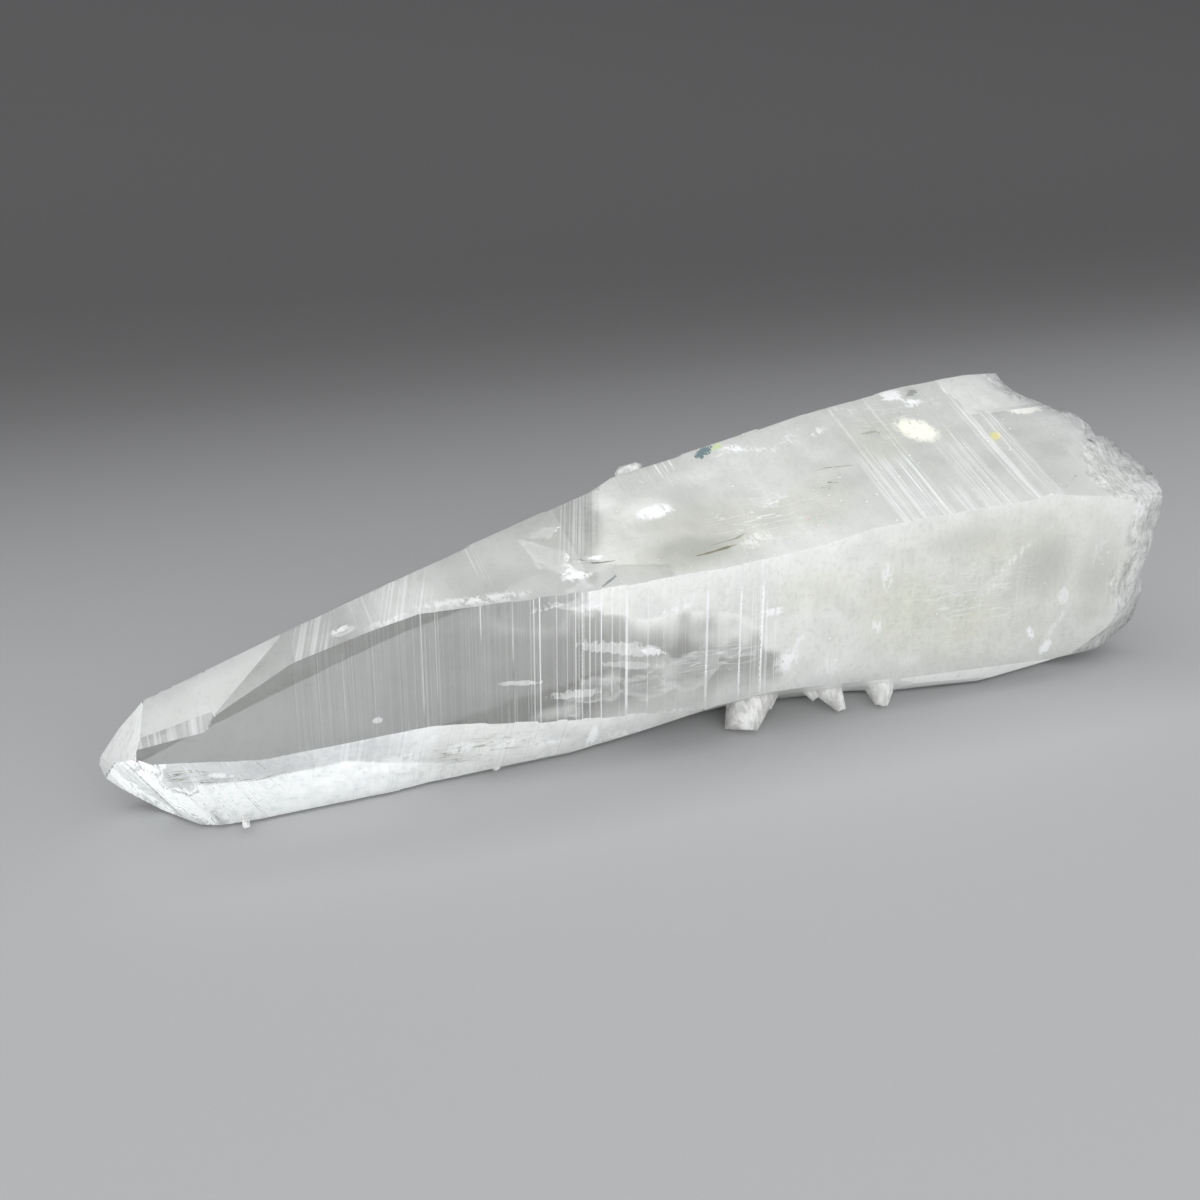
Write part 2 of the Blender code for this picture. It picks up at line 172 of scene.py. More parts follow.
# Rays that stop at a shell are labelled from here on; a point this near a face lies on it.
SHELL_LABEL = 100
ON_FACE = 0.002

# Small crystals: middle of the foot, middle of the tip, radius, length of the tapering end, share of the
# radius that is left at the tip.
SMALL_CRYSTALS = (
    ((111.2, 9.8, 6.8), (105.6, 4.7, 0.4), 4.5, 7.2, 0.62),
    ((114.8, 10.2, 6.4), (112.4, 7.4, 2.4), 2.6, 3.6, 0.45),
    ((125, 9.6, 6.6), (127.3, 4.9, 0.2), 4.2, 6.6, 0.26),
    ((121.4, 10, 6.4), (122.8, 7, 2.6), 2.4, 3.4, 0.4),
    ((136.8, 7.4, 6.8), (135.2, 3.5, 0.3), 3, 3.6, 0.42),
    ((93.9, 28, 43), (93.6, 28.3, 45), 2.8, 0.6, 0.6), ((60, 10.2, 1.8), (59.6, 7, 1), 0.9, 0.5, 0.4),
    ((17.2, 8.2, 1.2), (16.7, 4.6, 0.9), 0.7, 0.4, 0.4),
)
SMALL_CRYSTAL_SIDES = 6
# Lowest that a small crystal may reach.
SMALL_CRYSTAL_LOW = 0.1

# Random values along each side of the noise's lattice.
LATTICE = 61


def law(knots, x):
    """Straight lines through the knots (place, value), read at every x."""
    places, values = zip(*knots)
    return np.interp(x, places, values)


def steps(ledges, x):
    """Sum of the ledges passed at x: each rises in a straight ramp over the width."""
    total = np.zeros_like(x)
    for place, rise in ledges:
        total += rise * np.clip((x - place) / LEDGE_WIDTH + 0.5, 0.0, 1.0)
    return total


def value_noise(u, v, cell, seed):
    """Smooth noise from -1 to 1: random values on a lattice, joined by cubic easing both ways."""
    size = LATTICE
    lattice = np.random.default_rng(seed).uniform(-1.0, 1.0, (size, size))
    a, b = u / cell, v / cell
    i, j = np.floor(a).astype(int), np.floor(b).astype(int)
    a, b = a - i, b - j
    a, b = a * a * (3.0 - 2.0 * a), b * b * (3.0 - 2.0 * b)
    i0, i1, j0, j1 = i % size, (i + 1) % size, j % size, (j + 1) % size
    low = lattice[i0, j0] * (1.0 - a) + lattice[i1, j0] * a
    high = lattice[i0, j1] * (1.0 - a) + lattice[i1, j1] * a
    return low * (1.0 - b) + high * b


def hair_lines(seed, groups, named=()):
    """Growth lines as rows (place, width, step, start, end, whiteness): each group spreads its count over
    a span of x, and the named lines are added as they are."""
    rng = np.random.default_rng(seed)
    rows = [np.array(named).reshape(-1, 6)]
    for start, end, count, depth, low, high, white in groups:
        place = np.sort(rng.uniform(start, end, count))
        width = rng.uniform(0.1, 0.28, count)
        step = rng.uniform(0.3, 1.0, count) * depth * rng.choice((-1.0, 1.0), count)
        reach = high - low
        a = low + rng.uniform(-0.1, 0.3, count) * reach
        b = high - rng.uniform(-0.1, 0.3, count) * reach
        shine = white * rng.uniform(0.0, 1.0, count) ** 1.5
        rows.append(np.stack((place, width, step, a, b, shine), axis=1))
    rows = np.concatenate(rows)
    return rows[np.argsort(rows[:, 0])]


# Growth lines one by one: x, width, step, from, to, whiteness.
FRONT_NAMED = (
    (45.1, 0.16, 0.03, 16, 40, 0.4), (47.4, 0.14, -0.02, 18, 40, 0.3), (54.9, 0.2, 0.04, 27, 40, 0.55),
    (60.3, 0.22, 0, 21, 40, 0.35), (63.9, 0.18, 0.03, 10, 40, 0.55), (65, 0.24, 0.04, 10, 40, 0.8),
    (67.9, 0.22, 0, 8, 40, 0.4), (69.8, 0.18, 0, 12, 40, 0.35), (71.3, 0.2, 0.04, 8, 40, 0.6),
    (72.4, 0.18, 0, 8, 40, 0.6), (73.8, 0.2, -0.04, 8, 40, 0.7), (75.9, 0.26, 0, 6, 40, 0.95),
    (77.9, 0.16, 0.03, 12, 40, 0.6), (80.5, 0.34, 0, 9, 33, 0.75), (84.4, 0.2, 0, 9, 33, 0.45),
    (95.6, 0.36, 0, 8, 31, 0.6), (102.1, 0.42, 0, 7, 31, 0.9), (106.5, 0.32, 0, 6, 31, 0.9),
    (107.6, 0.14, 0, 6, 22, 0.5),
)
# Groups of growth lines: x from, x to, count, depth, the heights or depths they run between, whiteness.
FRONT_LINES = hair_lines(11, (
    (24, 60, 30, 0.015, 10, 36, 0.14), (60, 84, 16, 0.03, 8, 38, 0.35), (58, 64, 6, 0.02, 9, 19, 0.5),
    (84, 101, 14, 0.025, 10, 36, 0.25), (102.6, 110, 12, 0.03, 5, 34, 0.5),
    (112, 190, 12, 0.012, 4, 40, 0.1),
), FRONT_NAMED)
TOP_NAMED = (
    (97.9, 0.26, 0.04, 21, 32, 0.9), (99.6, 0.3, -0.04, 22, 32, 0.9), (101, 0.34, 0.04, 23, 32, 1),
)
TOP_LINES = hair_lines(12, (
    (30, 60, 20, 0.02, 0, 24, 0.35), (88, 101, 7, 0.04, 19, 30, 0.5),
    (135, 138.2, 8, 0.08, -2, 19, 0.45), (138.5, 141, 4, 0.04, -2, 17, 0.3),
    (141.4, 146, 10, 0.08, -2, 20, 0.42), (147.8, 151, 3, 0.03, -2, 9, 0.25),
    (152, 156.5, 6, 0.04, -2, 16, 0.3), (157, 160.4, 9, 0.08, -2, 22, 0.45),
    (163.4, 165.6, 6, 0.07, -2, 28, 0.4), (167.6, 170.4, 7, 0.08, -2, 36, 0.45),
), TOP_NAMED)
UNDER_LINES = hair_lines(13, (
    (2, 24, 16, 0.06, -30, 40, 0), (30, 50, 22, 0.05, -30, 12, 0), (50, 90, 14, 0.04, -30, 40, 0),
), ((75.9, 0.4, 0.08, -30, 40, 0),))
BACK_LINES = hair_lines(14, ((20, 170, 30, 0.06, 0, 60, 0.5),))
# Most that the growth lines may lift a face.
HAIR_HEIGHT = 0.12


def within(across, low, high, fade):
    """1 between low and high, faded out in straight ramps just inside them."""
    return np.clip((across - low) / fade, 0.0, 1.0) * np.clip((high - across) / fade, 0.0, 1.0)


def hair_relief(lines, x, across):
    """Height that the growth lines add: a ramp at each line, faded out towards the ends of that line. A
    step is turned round where the steps so far would add up to more than HAIR_HEIGHT."""
    total = np.zeros_like(x)
    level = 0.0
    for place, width, step, low, high, _white in lines:
        if abs(level + step) > HAIR_HEIGHT:
            step = -step
        level += step
        total += step * np.clip((x - place) / width + 0.5, 0.0, 1.0) * within(across, low, high, 2.0)
    return total


def line_whiteness(lines, x, across):
    """How white each spot is: the whiteness of the growth line it lies in, fading towards its ends."""
    total = np.zeros_like(x)
    for place, width, _step, low, high, white in lines:
        inside = np.abs(x - place) < 0.55 * width
        total = np.maximum(total, white * within(across, low, high, 3.0) * inside)
    return total


def wave(x, across, seed, height):
    """Slight unevenness of a natural face: two sizes of noise stretched along the growth lines."""
    broad = value_noise(x, across * 0.5, 17.0, seed)
    fine = value_noise(x, across * 0.3, 5.0, seed + 1)
    return height * (broad + 0.3 * fine)


def flat_face(direction, point, x):
    """Normal (y, z) and reach of a flat face in the section at x: normal.point less what x takes."""
    total = sum(a * b for a, b in zip(direction, point))
    return direction[1], direction[2], total - direction[0] * x


def faces_at(x, y=None, z=None):
    """Normals (y, z) and reaches of every convex face in the sections at x. With y and z given, the
    growth lines and unevenness at those places are added to the reach."""
    front = steps(FRONT_LEDGES, x)
    top = law(TOP_HEIGHT, x) + steps(TOP_LEDGES, x)
    back_top = law(BACK_TOP_HEIGHT, x) + steps(BACK_TOP_LEDGES, x)
    back = law(BACK_DEPTH, x) + steps(BACK_LEDGES, x)
    under = -law(FRONT_LOW_HEIGHT, x)
    shallow = -law(FOOT_FRONT_DEPTH, x) / STEEP
    if y is not None:
        front = front + hair_relief(FRONT_LINES, x, z) + wave(x, z, 31, 0.02)
        top = top + hair_relief(TOP_LINES, x, y) + wave(x, y, 33, 0.035)
        back_top = back_top + hair_relief(BACK_LINES, x, y) + wave(x, y, 35, 0.06)
        back = back + hair_relief(BACK_LINES, x, z) + wave(x, z, 37, 0.08)
        under = under + hair_relief(UNDER_LINES, x, z) + wave(x, z, 39, 0.08)
        shallow = shallow + hair_relief(UNDER_LINES, x, z) + wave(x, z, 41, 0.08)
    rows = [
        (1.0, 0.0, back),
        (BACK_TOP_SLOPE, 1.0, back_top),
        (-TOP_SLOPE, 1.0, top),
        (-1.0, 0.0, front),
        (-STEEP, -1.0, under),
        (-SHALLOW, -1.0, shallow),
        (0.0, -1.0, np.zeros_like(x)),
        (SHALLOW, -1.0, SHALLOW * law(FOOT_BACK_DEPTH, x)),
    ]
    return rows + [flat_face(direction, point, x) for direction, point in CUTS]


def ray_length(row, centre_y, centre_z, cos, sin):
    """Distance from the centre to a face along each ray; endless where the ray never leaves it."""
    normal_y, normal_z, reach = row
    speed = normal_y * cos + normal_z * sin
    room = reach - normal_y * centre_y - normal_z * centre_z
    return np.where(speed > 1e-6, room / np.where(speed > 1e-6, speed, 1.0), 1e9)


def break_reach(y, z):
    """How far the broken root reaches along x: the law across the depth, a fall low down, three sizes of
    noise, and the shells, each a ball that takes away what lies beyond its near side."""
    near = np.clip(1.0 - y / BREAK_FRONT_FADE, 0.0, 1.0)
    low = near * law(BREAK_LOW_FRONT, z) + (1.0 - near) * law(BREAK_LOW_INSIDE, z)
    rough = 0.6 * value_noise(y, z, 9.0, 5) + 0.35 * value_noise(y, z, 3.5, 6)
    rough = rough + 0.14 * value_noise(y, z, 1.3, 7)
    reach = law(BREAK_REACH, y) + low + rough
    for (cx, cy, cz), radius in SHELL_CHIPS + BREAK_BOWLS:
        spread = (y - cy) ** 2 + (z - cz) ** 2
        ripple = 0.1 * np.sin(np.sqrt(spread + 1.0) * 2.4)
        inside = radius ** 2 - spread
        half = np.sqrt(np.clip(inside, 0.0, None))
        bitten = (inside > 0.0) & (cx + half > reach)
        reach = np.where(bitten, np.minimum(reach, cx - half + ripple), reach)
    return reach


def first_stops(x, angle):
    """Where each ray from the axis meets a face at x (stations by ring columns): the flat faces, then the
    notches, which stop it sooner where it lies in both faces of a pair, and then the shells."""
    cos, sin = np.cos(angle)[None, :], np.sin(angle)[None, :]
    places, ys, zs = zip(*AXIS)
    centre_y, centre_z = np.interp(x, places, ys), np.interp(x, places, zs)
    y = z = None
    for _ in range(2):
        rows = faces_at(x, y, z)
        lengths = np.stack([ray_length(row, centre_y, centre_z, cos, sin) for row in rows])
        label = np.argmin(lengths, axis=0)
        length = np.min(lengths, axis=0)
        for pair in NOTCHES:
            rows += [flat_face(direction, point, x) for direction, point in pair]
            first, second = (ray_length(row, centre_y, centre_z, cos, sin) for row in rows[-2:])
            stop = np.maximum(first, second)
            sooner = stop < length
            label = np.where(sooner, np.where(first > second, len(rows) - 2, len(rows) - 1), label)
            length = np.where(sooner, stop, length)
        y, z = centre_y + length * cos, centre_z + length * sin
    for index, ((cx, cy, cz), radius) in enumerate(SHELL_CHIPS):
        along = cos * (centre_y - cy) + sin * (centre_z - cz)
        ripple = 0.12 * np.sin(3.3 * np.hypot(x - cx, y - cy))
        gap = (centre_y - cy) ** 2 + (centre_z - cz) ** 2 + (x - cx) ** 2 - (radius + ripple) ** 2
        inside = along ** 2 - gap
        stop = -along - np.sqrt(np.clip(inside, 0.0, None))
        sooner = (inside > 0.0) & (stop > 0.0) & (stop < length)
        label = np.where(sooner, SHELL_LABEL + index, label)
        length = np.where(sooner, stop, length)
    return centre_y + length * cos, centre_z + length * sin, label, rows


def rings_at(x):
    """Points of the skin at x: each ray stops at the first face, and where two neighbouring rays stop at
    different flat faces, the first is put exactly on the edge between them. Also which faces each point
    lies on."""
    y, z, label, rows = first_stops(x, np.radians(ANGLES))
    flat = label < SHELL_LABEL
    normals_y = np.array([row[0] for row in rows])
    normals_z = np.array([row[1] for row in rows])
    reaches = np.stack([row[2] for row in rows])
    safe = np.where(flat, label, 0)
    following = np.roll(safe, -1, axis=1)
    edge = (safe != following) & flat & np.roll(flat, -1, axis=1)
    a_y, a_z, b_y, b_z = normals_y[safe], normals_z[safe], normals_y[following], normals_z[following]
    a_reach = np.take_along_axis(reaches, safe[None], axis=0)[0]
    b_reach = np.take_along_axis(reaches, following[None], axis=0)[0]
    area = a_y * b_z - a_z * b_y
    good = edge & (np.abs(area) > 1e-3)
    area = np.where(good, area, 1.0)
    corner_y = (a_reach * b_z - b_reach * a_z) / area
    corner_z = (a_y * b_reach - b_y * a_reach) / area
    spacing = np.hypot(np.roll(y, -1, axis=1) - y, np.roll(z, -1, axis=1) - z)
    away = np.hypot(corner_y - y, corner_z - z)
    good &= away < 1.6 * spacing + 0.05
    y, z = np.where(good, corner_y, y), np.where(good, corner_z, z)
    marks = [np.abs(row[0] * y + row[1] * z - row[2]) < ON_FACE for row in rows]
    marks += [label == SHELL_LABEL + index for index in range(len(SHELL_CHIPS))]
    return y, z, np.stack(marks)


def station_places():
    """Stations along the axis: close together at the tip, a pair at every ledge and growth line, and
    regular ones between."""
    places = [np.arange(-2.4, 14.0, 0.16), np.arange(14.0, 30.0, 0.5), np.arange(30.0, LEAN_START, 1.5)]
    pairs = [(np.array([ledge[0] for ledge in ledges]), LEDGE_WIDTH) for ledges in ALL_LEDGES]
    pairs += [(lines[:, 0], lines[:, 1]) for lines in (FRONT_LINES, TOP_LINES, UNDER_LINES, BACK_LINES)]
    for middle, width in pairs:
        places += [middle - width / 2, middle + width / 2]
    merged = np.sort(np.concatenate(places))
    merged = merged[(merged > -2.45) & (merged < LEAN_START)]
    return merged[np.concatenate(([True], np.diff(merged) > 0.04))]


def quads(a, b, c, d):
    """Two triangles, a-b-c and a-c-d, for every quad that four arrays of point numbers make."""
    return np.concatenate([np.stack(part, axis=-1).reshape(-1, 3) for part in ((a, b, c), (a, c, d))])


def fan(first, second, hub):
    """Triangles from every first point to its second point and on to one hub."""
    return np.stack((first, second, np.full(len(first), hub)), axis=1)


def ring_grid(rows, columns):
    """Row and column numbers of a grid of rings, with the number of the next column round."""
    row, column = np.meshgrid(np.arange(rows), np.arange(columns), indexing="ij")
    return row, column, (column + 1) % columns


def skin_triangles(points, marks, rings):
    """Triangles of the skin and the kind of face of each. Every quad is split along the diagonal that
    keeps more of its triangles on one face, or else along the one that stands out."""
    row, column, right = ring_grid(rings - 1, RING)
    p00, p01 = row * RING + column, row * RING + right
    p10, p11 = p00 + RING, p01 + RING

    def shared(a, b, c):
        return marks[:, a] & marks[:, b] & marks[:, c]

    def count(*triangles):
        return sum(shared(*triangle).any(axis=0).astype(int) for triangle in triangles)

    first = count((p00, p01, p11), (p00, p11, p10))
    second = count((p00, p01, p10), (p01, p11, p10))
    normal = np.cross(points[p01] - points[p00], points[p10] - points[p00])
    ridge = np.einsum("ijk,ijk->ij", normal, points[p11] - points[p00])
    use_first = np.where(first == second, ridge > 0.0, first > second)
    one = np.stack((p00, p01, np.where(use_first, p11, p10)), axis=2)
    two = np.stack((np.where(use_first, p00, p01), p11, p10), axis=2)
    side = np.concatenate((one.reshape(-1, 3), two.reshape(-1, 3)))
    return side, np.argmax(shared(*side.T), axis=0)


def crystal_surface():
    """Vertices, triangles and kinds of face of the whole skin, in millimetres: rings from the tip to the
    break, where the last stations lean so that the last ring lies on the broken rim, then a polar grid
    over the break."""
    before = station_places()
    lean = np.linspace(0.0, 1.0, LEAN_RINGS)[:, None]
    rim_x = np.full((1, RING), RIM_GUESS)
    for _ in range(RIM_PASSES):
        y, z, _marks = rings_at(rim_x)
        rim_x = 0.5 * rim_x + 0.5 * break_reach(y, z)
    rim_x = np.maximum(rim_x, LEAN_START + 1.0)
    leaning = LEAN_START + lean * (rim_x - LEAN_START)
    x = np.concatenate((np.repeat(before[:, None], RING, axis=1), leaning))
    y, z, marks = rings_at(x)
    points = np.stack((x, y, z), axis=2).reshape(-1, 3)
    side, kind = skin_triangles(points, marks.reshape(len(marks), -1), len(x))

    shrink = np.linspace(1.0, 0.0, BREAK_RINGS + 1)[1:-1][:, None]
    rim_y, rim_z = y[-1][None], z[-1][None]
    middle_y, middle_z = rim_y.mean(), rim_z.mean()
    cap_y, cap_z = middle_y + (rim_y - middle_y) * shrink, middle_z + (rim_z - middle_z) * shrink
    cap = np.stack((break_reach(cap_y, cap_z), cap_y, cap_z), axis=2).reshape(-1, 3)
    hub_x = break_reach(np.array([middle_y]), np.array([middle_z]))[0]
    start = len(points) - RING
    row, column, right = ring_grid(len(shrink), RING)
    a, b = start + row * RING + column, start + row * RING + right
    hub = len(points) + len(cap)
    ring = np.arange(RING)
    following = (ring + 1) % RING
    last = hub - RING
    triangles = np.concatenate((
        side, quads(a, b, b + RING, a + RING), fan(last + ring, last + following, hub),
        fan(following, ring, hub + 1),
    ))
    points = np.concatenate((points, cap, [[hub_x, middle_y, middle_z], [TIP_X, *AXIS[0][1:]]]))
    kinds = np.full(len(triangles), BREAK_KIND)
    kinds[:len(kind)] = kind
    kinds[-RING:] = TIP_KIND
    return points, triangles, kinds


def own_to_row(points):
    """Millimetres in the crystal's own axes to metres in the row frame."""
    low = np.array(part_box(NODE)[0])
    return (points - OWN_LOW) * MM + low


# Marks in the quartz, in mm and in the plane of the face: centre, half sizes, turn, strength. The flashes
# are painted reflections: glints where inner cracks catch the light.
TOP_FLASHES = (
    (92.5, 14.4, 4.8, 2, 8, 1.1), (78, 6.6, 2.6, 0.9, 0, 0.8), (152.2, 31, 3.6, 2, 10, 1.2),
    (155.6, 28.4, 3.2, 1.6, 15, 0.9), (151.8, 21.2, 5.6, 4.3, -20, 1.16), (73, 3.4, 4, 1.2, 5, 1),
    (114.5, 25.6, 4.6, 1.7, -18, 0.8), (119.5, 23.6, 4.6, 1.4, -22, 0.5), (111, 24.6, 2.4, 1, 0, 0.6),
    (178.6, 22.6, 5.2, 1.7, 0, 1.3), (55, 1.2, 15, 1.5, 0, 0.6), (40, 0.6, 6, 1.2, 0, 0.5),
    (84.6, 18, 3.4, 2.2, 20, 0.4), (107, 4.4, 6, 2.2, 10, 0.5), (131.5, 24.5, 3.6, 1.6, 15, 0.6),
    (125, 24, 7, 3.5, 15, 0.35), (116, 12, 8, 2.5, 10, 0.35), (84.8, 24, 1.4, 5, 0, 0.6),
    (33, 2.4, 2.4, 0.7, 0, 0.8), (160.5, 28, 5, 2.5, 30, 0.35), (140, 28.5, 6, 2, 0, 0.4),
)
TOP_OLIVE = (
    (101, 8.5, 13, 6.5, 0, 1), (143, 21, 8, 5, 0, 0.6), (122, 9, 10, 5, 10, 0.7),
    (180, 24, 6, 2.5, 0, 0.9), (92, 4, 10, 4, 0, 0.9), (140, 18, 4, 5, 0, 0.6),
)
TOP_GREY = (
    (70, 16, 9, 9, 0, 0.5), (79.5, 18, 4, 9, 0, 0.7), (94, 4.6, 10, 4, 0, 0.7),
    (157.2, 31.2, 1.8, 1, 0, 1.2), (176, 12, 8, 12, 0, 0.25), (113, 8, 4, 4, 0, 0.4),
)
# Smooth bright films just under the faces.
TOP_FILMS = ((90.5, 15, 7, 3.6, 12, 0.3), (84.8, 18, 3.4, 4.4, 0, 0.25), (104, 21, 8, 3, 0, 0.2))
FRONT_FILMS = (
    (67.4, 12.8, 5.4, 1.6, 4, 0.25), (77.6, 17.2, 2.4, 2, 20, 0.2), (73, 30.4, 4, 2, 0, 0.18),
    (90, 12.6, 9, 3, 0, 0.15), (100.4, 12, 5, 3.4, 20, 0.15), (88, 17, 5, 2.6, -20, 0.18),
)
# Painted reflections on the front face: glints where inner cracks catch the light.
FRONT_FLASHES = (
    (132, 27, 2.2, 5, 12, 0.6), (130.5, 18, 2.8, 2.4, 0, 0.6), (160, 26.5, 11, 1.3, 38, 0.45),
    (169.8, 7.2, 2.6, 1.3, 40, 1.3), (112, 14.6, 4, 2.8, 30, 0.8), (108.8, 24.2, 3.4, 1.2, 0, 0.8),
    (90.3, 27.6, 5, 1.2, 4, 0.6), (114.2, 18.1, 2.2, 1.4, 30, 0.6), (181, 26, 6, 4.6, 60, 0.35),
    (155, 21, 7, 1, 40, 0.4), (88, 7.8, 9, 2.2, 0, 0.7), (121, 12, 6, 3.5, 20, 0.5),
    (166, 11, 2.8, 1.1, -55, 0.8), (172, 12, 7, 1.4, 50, 0.5), (74, 30.5, 4, 1.4, 0, 0.6),
    (66, 31.5, 5, 0.9, 0, 0.6), (138, 10, 5, 2, 10, 0.4), (92, 29, 5, 1.6, 5, 0.4),
)
FRONT_OLIVE = (
    (136, 20, 11, 8, -20, 0.9), (118, 27, 9, 4, 0, 0.7), (150, 15, 9, 5, 20, 0.8),
    (160, 30, 12, 4, 0, 0.5),
)
FRONT_GREY = ((168, 24, 8, 7, 30, 0.5), (182, 20, 7, 12, 0, 0.6), (148, 32, 9, 3, 0, 0.3))
# Painted reflections on the underside: glints where inner cracks catch the light.
UNDER_FLASHES = (
    (52, 8, 3.5, 2, 0, 0.7), (60, 7.5, 2.5, 1.5, 0, 0.7), (68, 6, 6, 1.2, 0, 0.6),
    (75.4, 6, 1.3, 3.5, 0, 1), (40, 7.5, 7, 2.2, 10, 0.8), (33, 9, 2, 1, 0, 0.8),
    (82, 5, 8, 1.5, 0, 0.5), (24, 9.6, 4, 0.6, 0, 0.8), (13, 12, 3, 0.8, -20, 0.9),
)
# Fine threads (above 0) and dark cracks (below 0).
TOP_THREADS = ((112, 9, 14, 7, 0, 0.45), (148, 24, 10, 8, 0, 0.25))
TOP_CRACKS = ((74.5, 6.4, 3, 1.2, 0, 0.5), (125, 12, 4.5, 1.6, 0, 0.4), (119, 9, 3, 1.2, 0, 0.4))
FRONT_THREADS = ((150, 20, 20, 12, 0, 0.25), (98, 17, 10, 4, 0, 0.4))
UNDER_CRACKS = (
    (9, 12.6, 7, 1.6, -18, 0.8), (20, 10.2, 5, 0.9, 0, 0.8), (30, 10, 4, 0.8, 0, 0.7),
    (55, 7, 14, 4, 0, 0.35),
)
# Where the upper part of the underside meets the bright lower part: (x, z).
UNDER_EDGE = ((6, 10.6), (18, 9.9), (24, 9.5), (33, 10.2), (40, 7.6), (50, 5), (60, 3))
# Bands of growth streaks on the top face: from, to, how far up they run.
TOP_BANDS = (
    (134.6, 136.4, 19), (136.9, 138, 17), (138.8, 145.4, 18), (147.8, 151, 9), (152.6, 160.2, 20),
    (163.4, 165.6, 30), (167.4, 170.4, 40),
)
# Laws along x: how white the clear top face is, how dull the underside is, how bright the milk is.
TOP_HAZE = ((33, 0), (40, 0.14), (48, 0.12), (54, 0))
UNDER_DULL = ((20, 0), (28, -0.03), (34, 0), (42, 0.06), (52, 0), (60, -0.02), (90, 0))
TOP_LEVEL = (
    (82, 0.73), (92, 0.66), (101, 0.63), (113, 0.75), (125, 0.69), (150, 0.63), (172, 0.7), (190, 0.86),
)
FRONT_LEVEL = ((90, 0.86), (125, 0.85), (150, 0.77), (170, 0.79), (190, 0.86))
# Flashes whose painted reflection is cream rather than white.
CREAM_FLASHES = (TOP_FLASHES[4], TOP_FLASHES[9])
CREAM = (0.93, 0.925, 0.8)
COOL = np.array((0.98, 0.995, 1.0))
# Lean of the milk's start and of the streaks on the top face: x for each step back.
TOP_LEAN = 0.46


def nearness(u, v, rows):
    """Strength of the strongest ellipse: its strength at the middle, 0 on its rim and less outside."""
    best = np.full_like(u, -1.0)
    for cu, cv, ru, rv, turn, strength in rows:
        cos, sin = math.cos(math.radians(turn)), math.sin(math.radians(turn))
        a, b = (u - cu) * cos + (v - cv) * sin, (v - cv) * cos - (u - cu) * sin
        near = 1.0 - (a / ru) ** 2 - (b / rv) ** 2
        best = np.maximum(best, np.where(near > 0.0, near * strength, near))
    return best


def ease(value, start, end):
    """0 up to start and 1 from end on, eased between. It falls along the way where start is larger."""
    share = np.clip((value - start) / (end - start), 0.0, 1.0)
    return share * share * (3.0 - 2.0 * share)


def shade(share, first, second):
    """Colours between first and second, one for each share."""
    share = share[:, None]
    return np.array(first) * (1.0 - share) + np.array(second) * share


class Places:
    """Corners of the faces in millimetres, the kind of face that each is on, and the noises that several
    laws share."""

    def __init__(self, points, kinds):
        self.x, self.y, self.z = points.T
        self.kinds = kinds
        self.top, self.front = np.isin(kinds, (TOP, CORNER)), kinds == FRONT
        self.under = np.isin(kinds, (UNDER_STEEP, UNDER_SHALLOW, LOWER, LOWER_FLANK))
        self.small = self.noise(2.4, 74)
        self.middle = self.noise(6.5, 71) + 0.45 * self.small
        self.broad = self.noise(19.0, 73)
        self.upright = self.x - TOP_LEAN * self.y

    def noise(self, cell, seed):
        """Noise that runs on over edges: three noises, one for each pair of axes, added up."""
        x, y, z = self.x, self.y, self.z
        first = value_noise(x, y + 0.5 * z, cell, seed)
        second = value_noise(x + 0.4 * y, z, cell, seed + 100)
        third = value_noise(y - 0.3 * x, z + 0.3 * x, cell, seed + 200)
        return (first + second + third) / 1.8

    def pick(self, top, front, other):
        """One value on the top face, another on the front face and a third elsewhere."""
        return np.where(self.top, top, np.where(self.front, front, other))

    def near(self, top, front=(), under=()):
        """Nearness to the marks of the face that each corner is on, and -1 where it has none."""
        below = np.where(self.under, nearness(self.x, self.z, under), -1.0)
        return self.pick(nearness(self.x, self.y, top), nearness(self.x, self.z, front), below)


def milk_depth(at):
    """How far past the start of the milk each corner is, in mm, and below 0 in the clear part."""
    x, y, z = at.x, at.y, at.z
    top_start = 75.4 + TOP_LEAN * y + 14.0 * ease(y, 5.5, 2.0)
    start = np.where(at.top, top_start, 107.0 - 27.0 * ease(z, 23.0, 30.0))
    ragged = x - start + 7.0 * at.middle + 7.0 * at.broad
    return np.where(at.top, 2.5 * (x - start) + 2.0 * at.small, ragged)


def bubbles(at):
    """Near the broken rim the milk gives way to clear, bubbly quartz: how far, and the bubbles' noise."""
    rim = break_reach(at.y, at.z) - at.x
    bubbly = ease(-rim + 1.2 * at.small, at.pick(-5.0, -4.2, -5.0), at.pick(-1.5, -1.2, -2.0))
    bubbly = bubbly * np.where(at.front, ease(at.z, 9.0, 20.0), 1.0)
    bubbly = np.where(at.kinds >= SHELL_KIND, ease(at.x + at.small, 183.5, 188.5), bubbly)
    bubbly = np.where(at.kinds == BREAK_KIND, 0.35 + 0.6 * ease(at.y, 20.0, 10.0), bubbly)
    return bubbly, 0.5 * at.small + 0.5 * at.noise(1.5, 75)


def milk_whiteness(at, bubbly, bubble):
    """How white the milk is."""
    thick = 0.95 - 0.12 * ease(at.middle, 0.1, 0.8) - 0.12 * ease(at.x, 155.0, 172.0) * at.top
    return thick * (1.0 - bubbly) + bubbly * (0.74 + 0.12 * bubble)


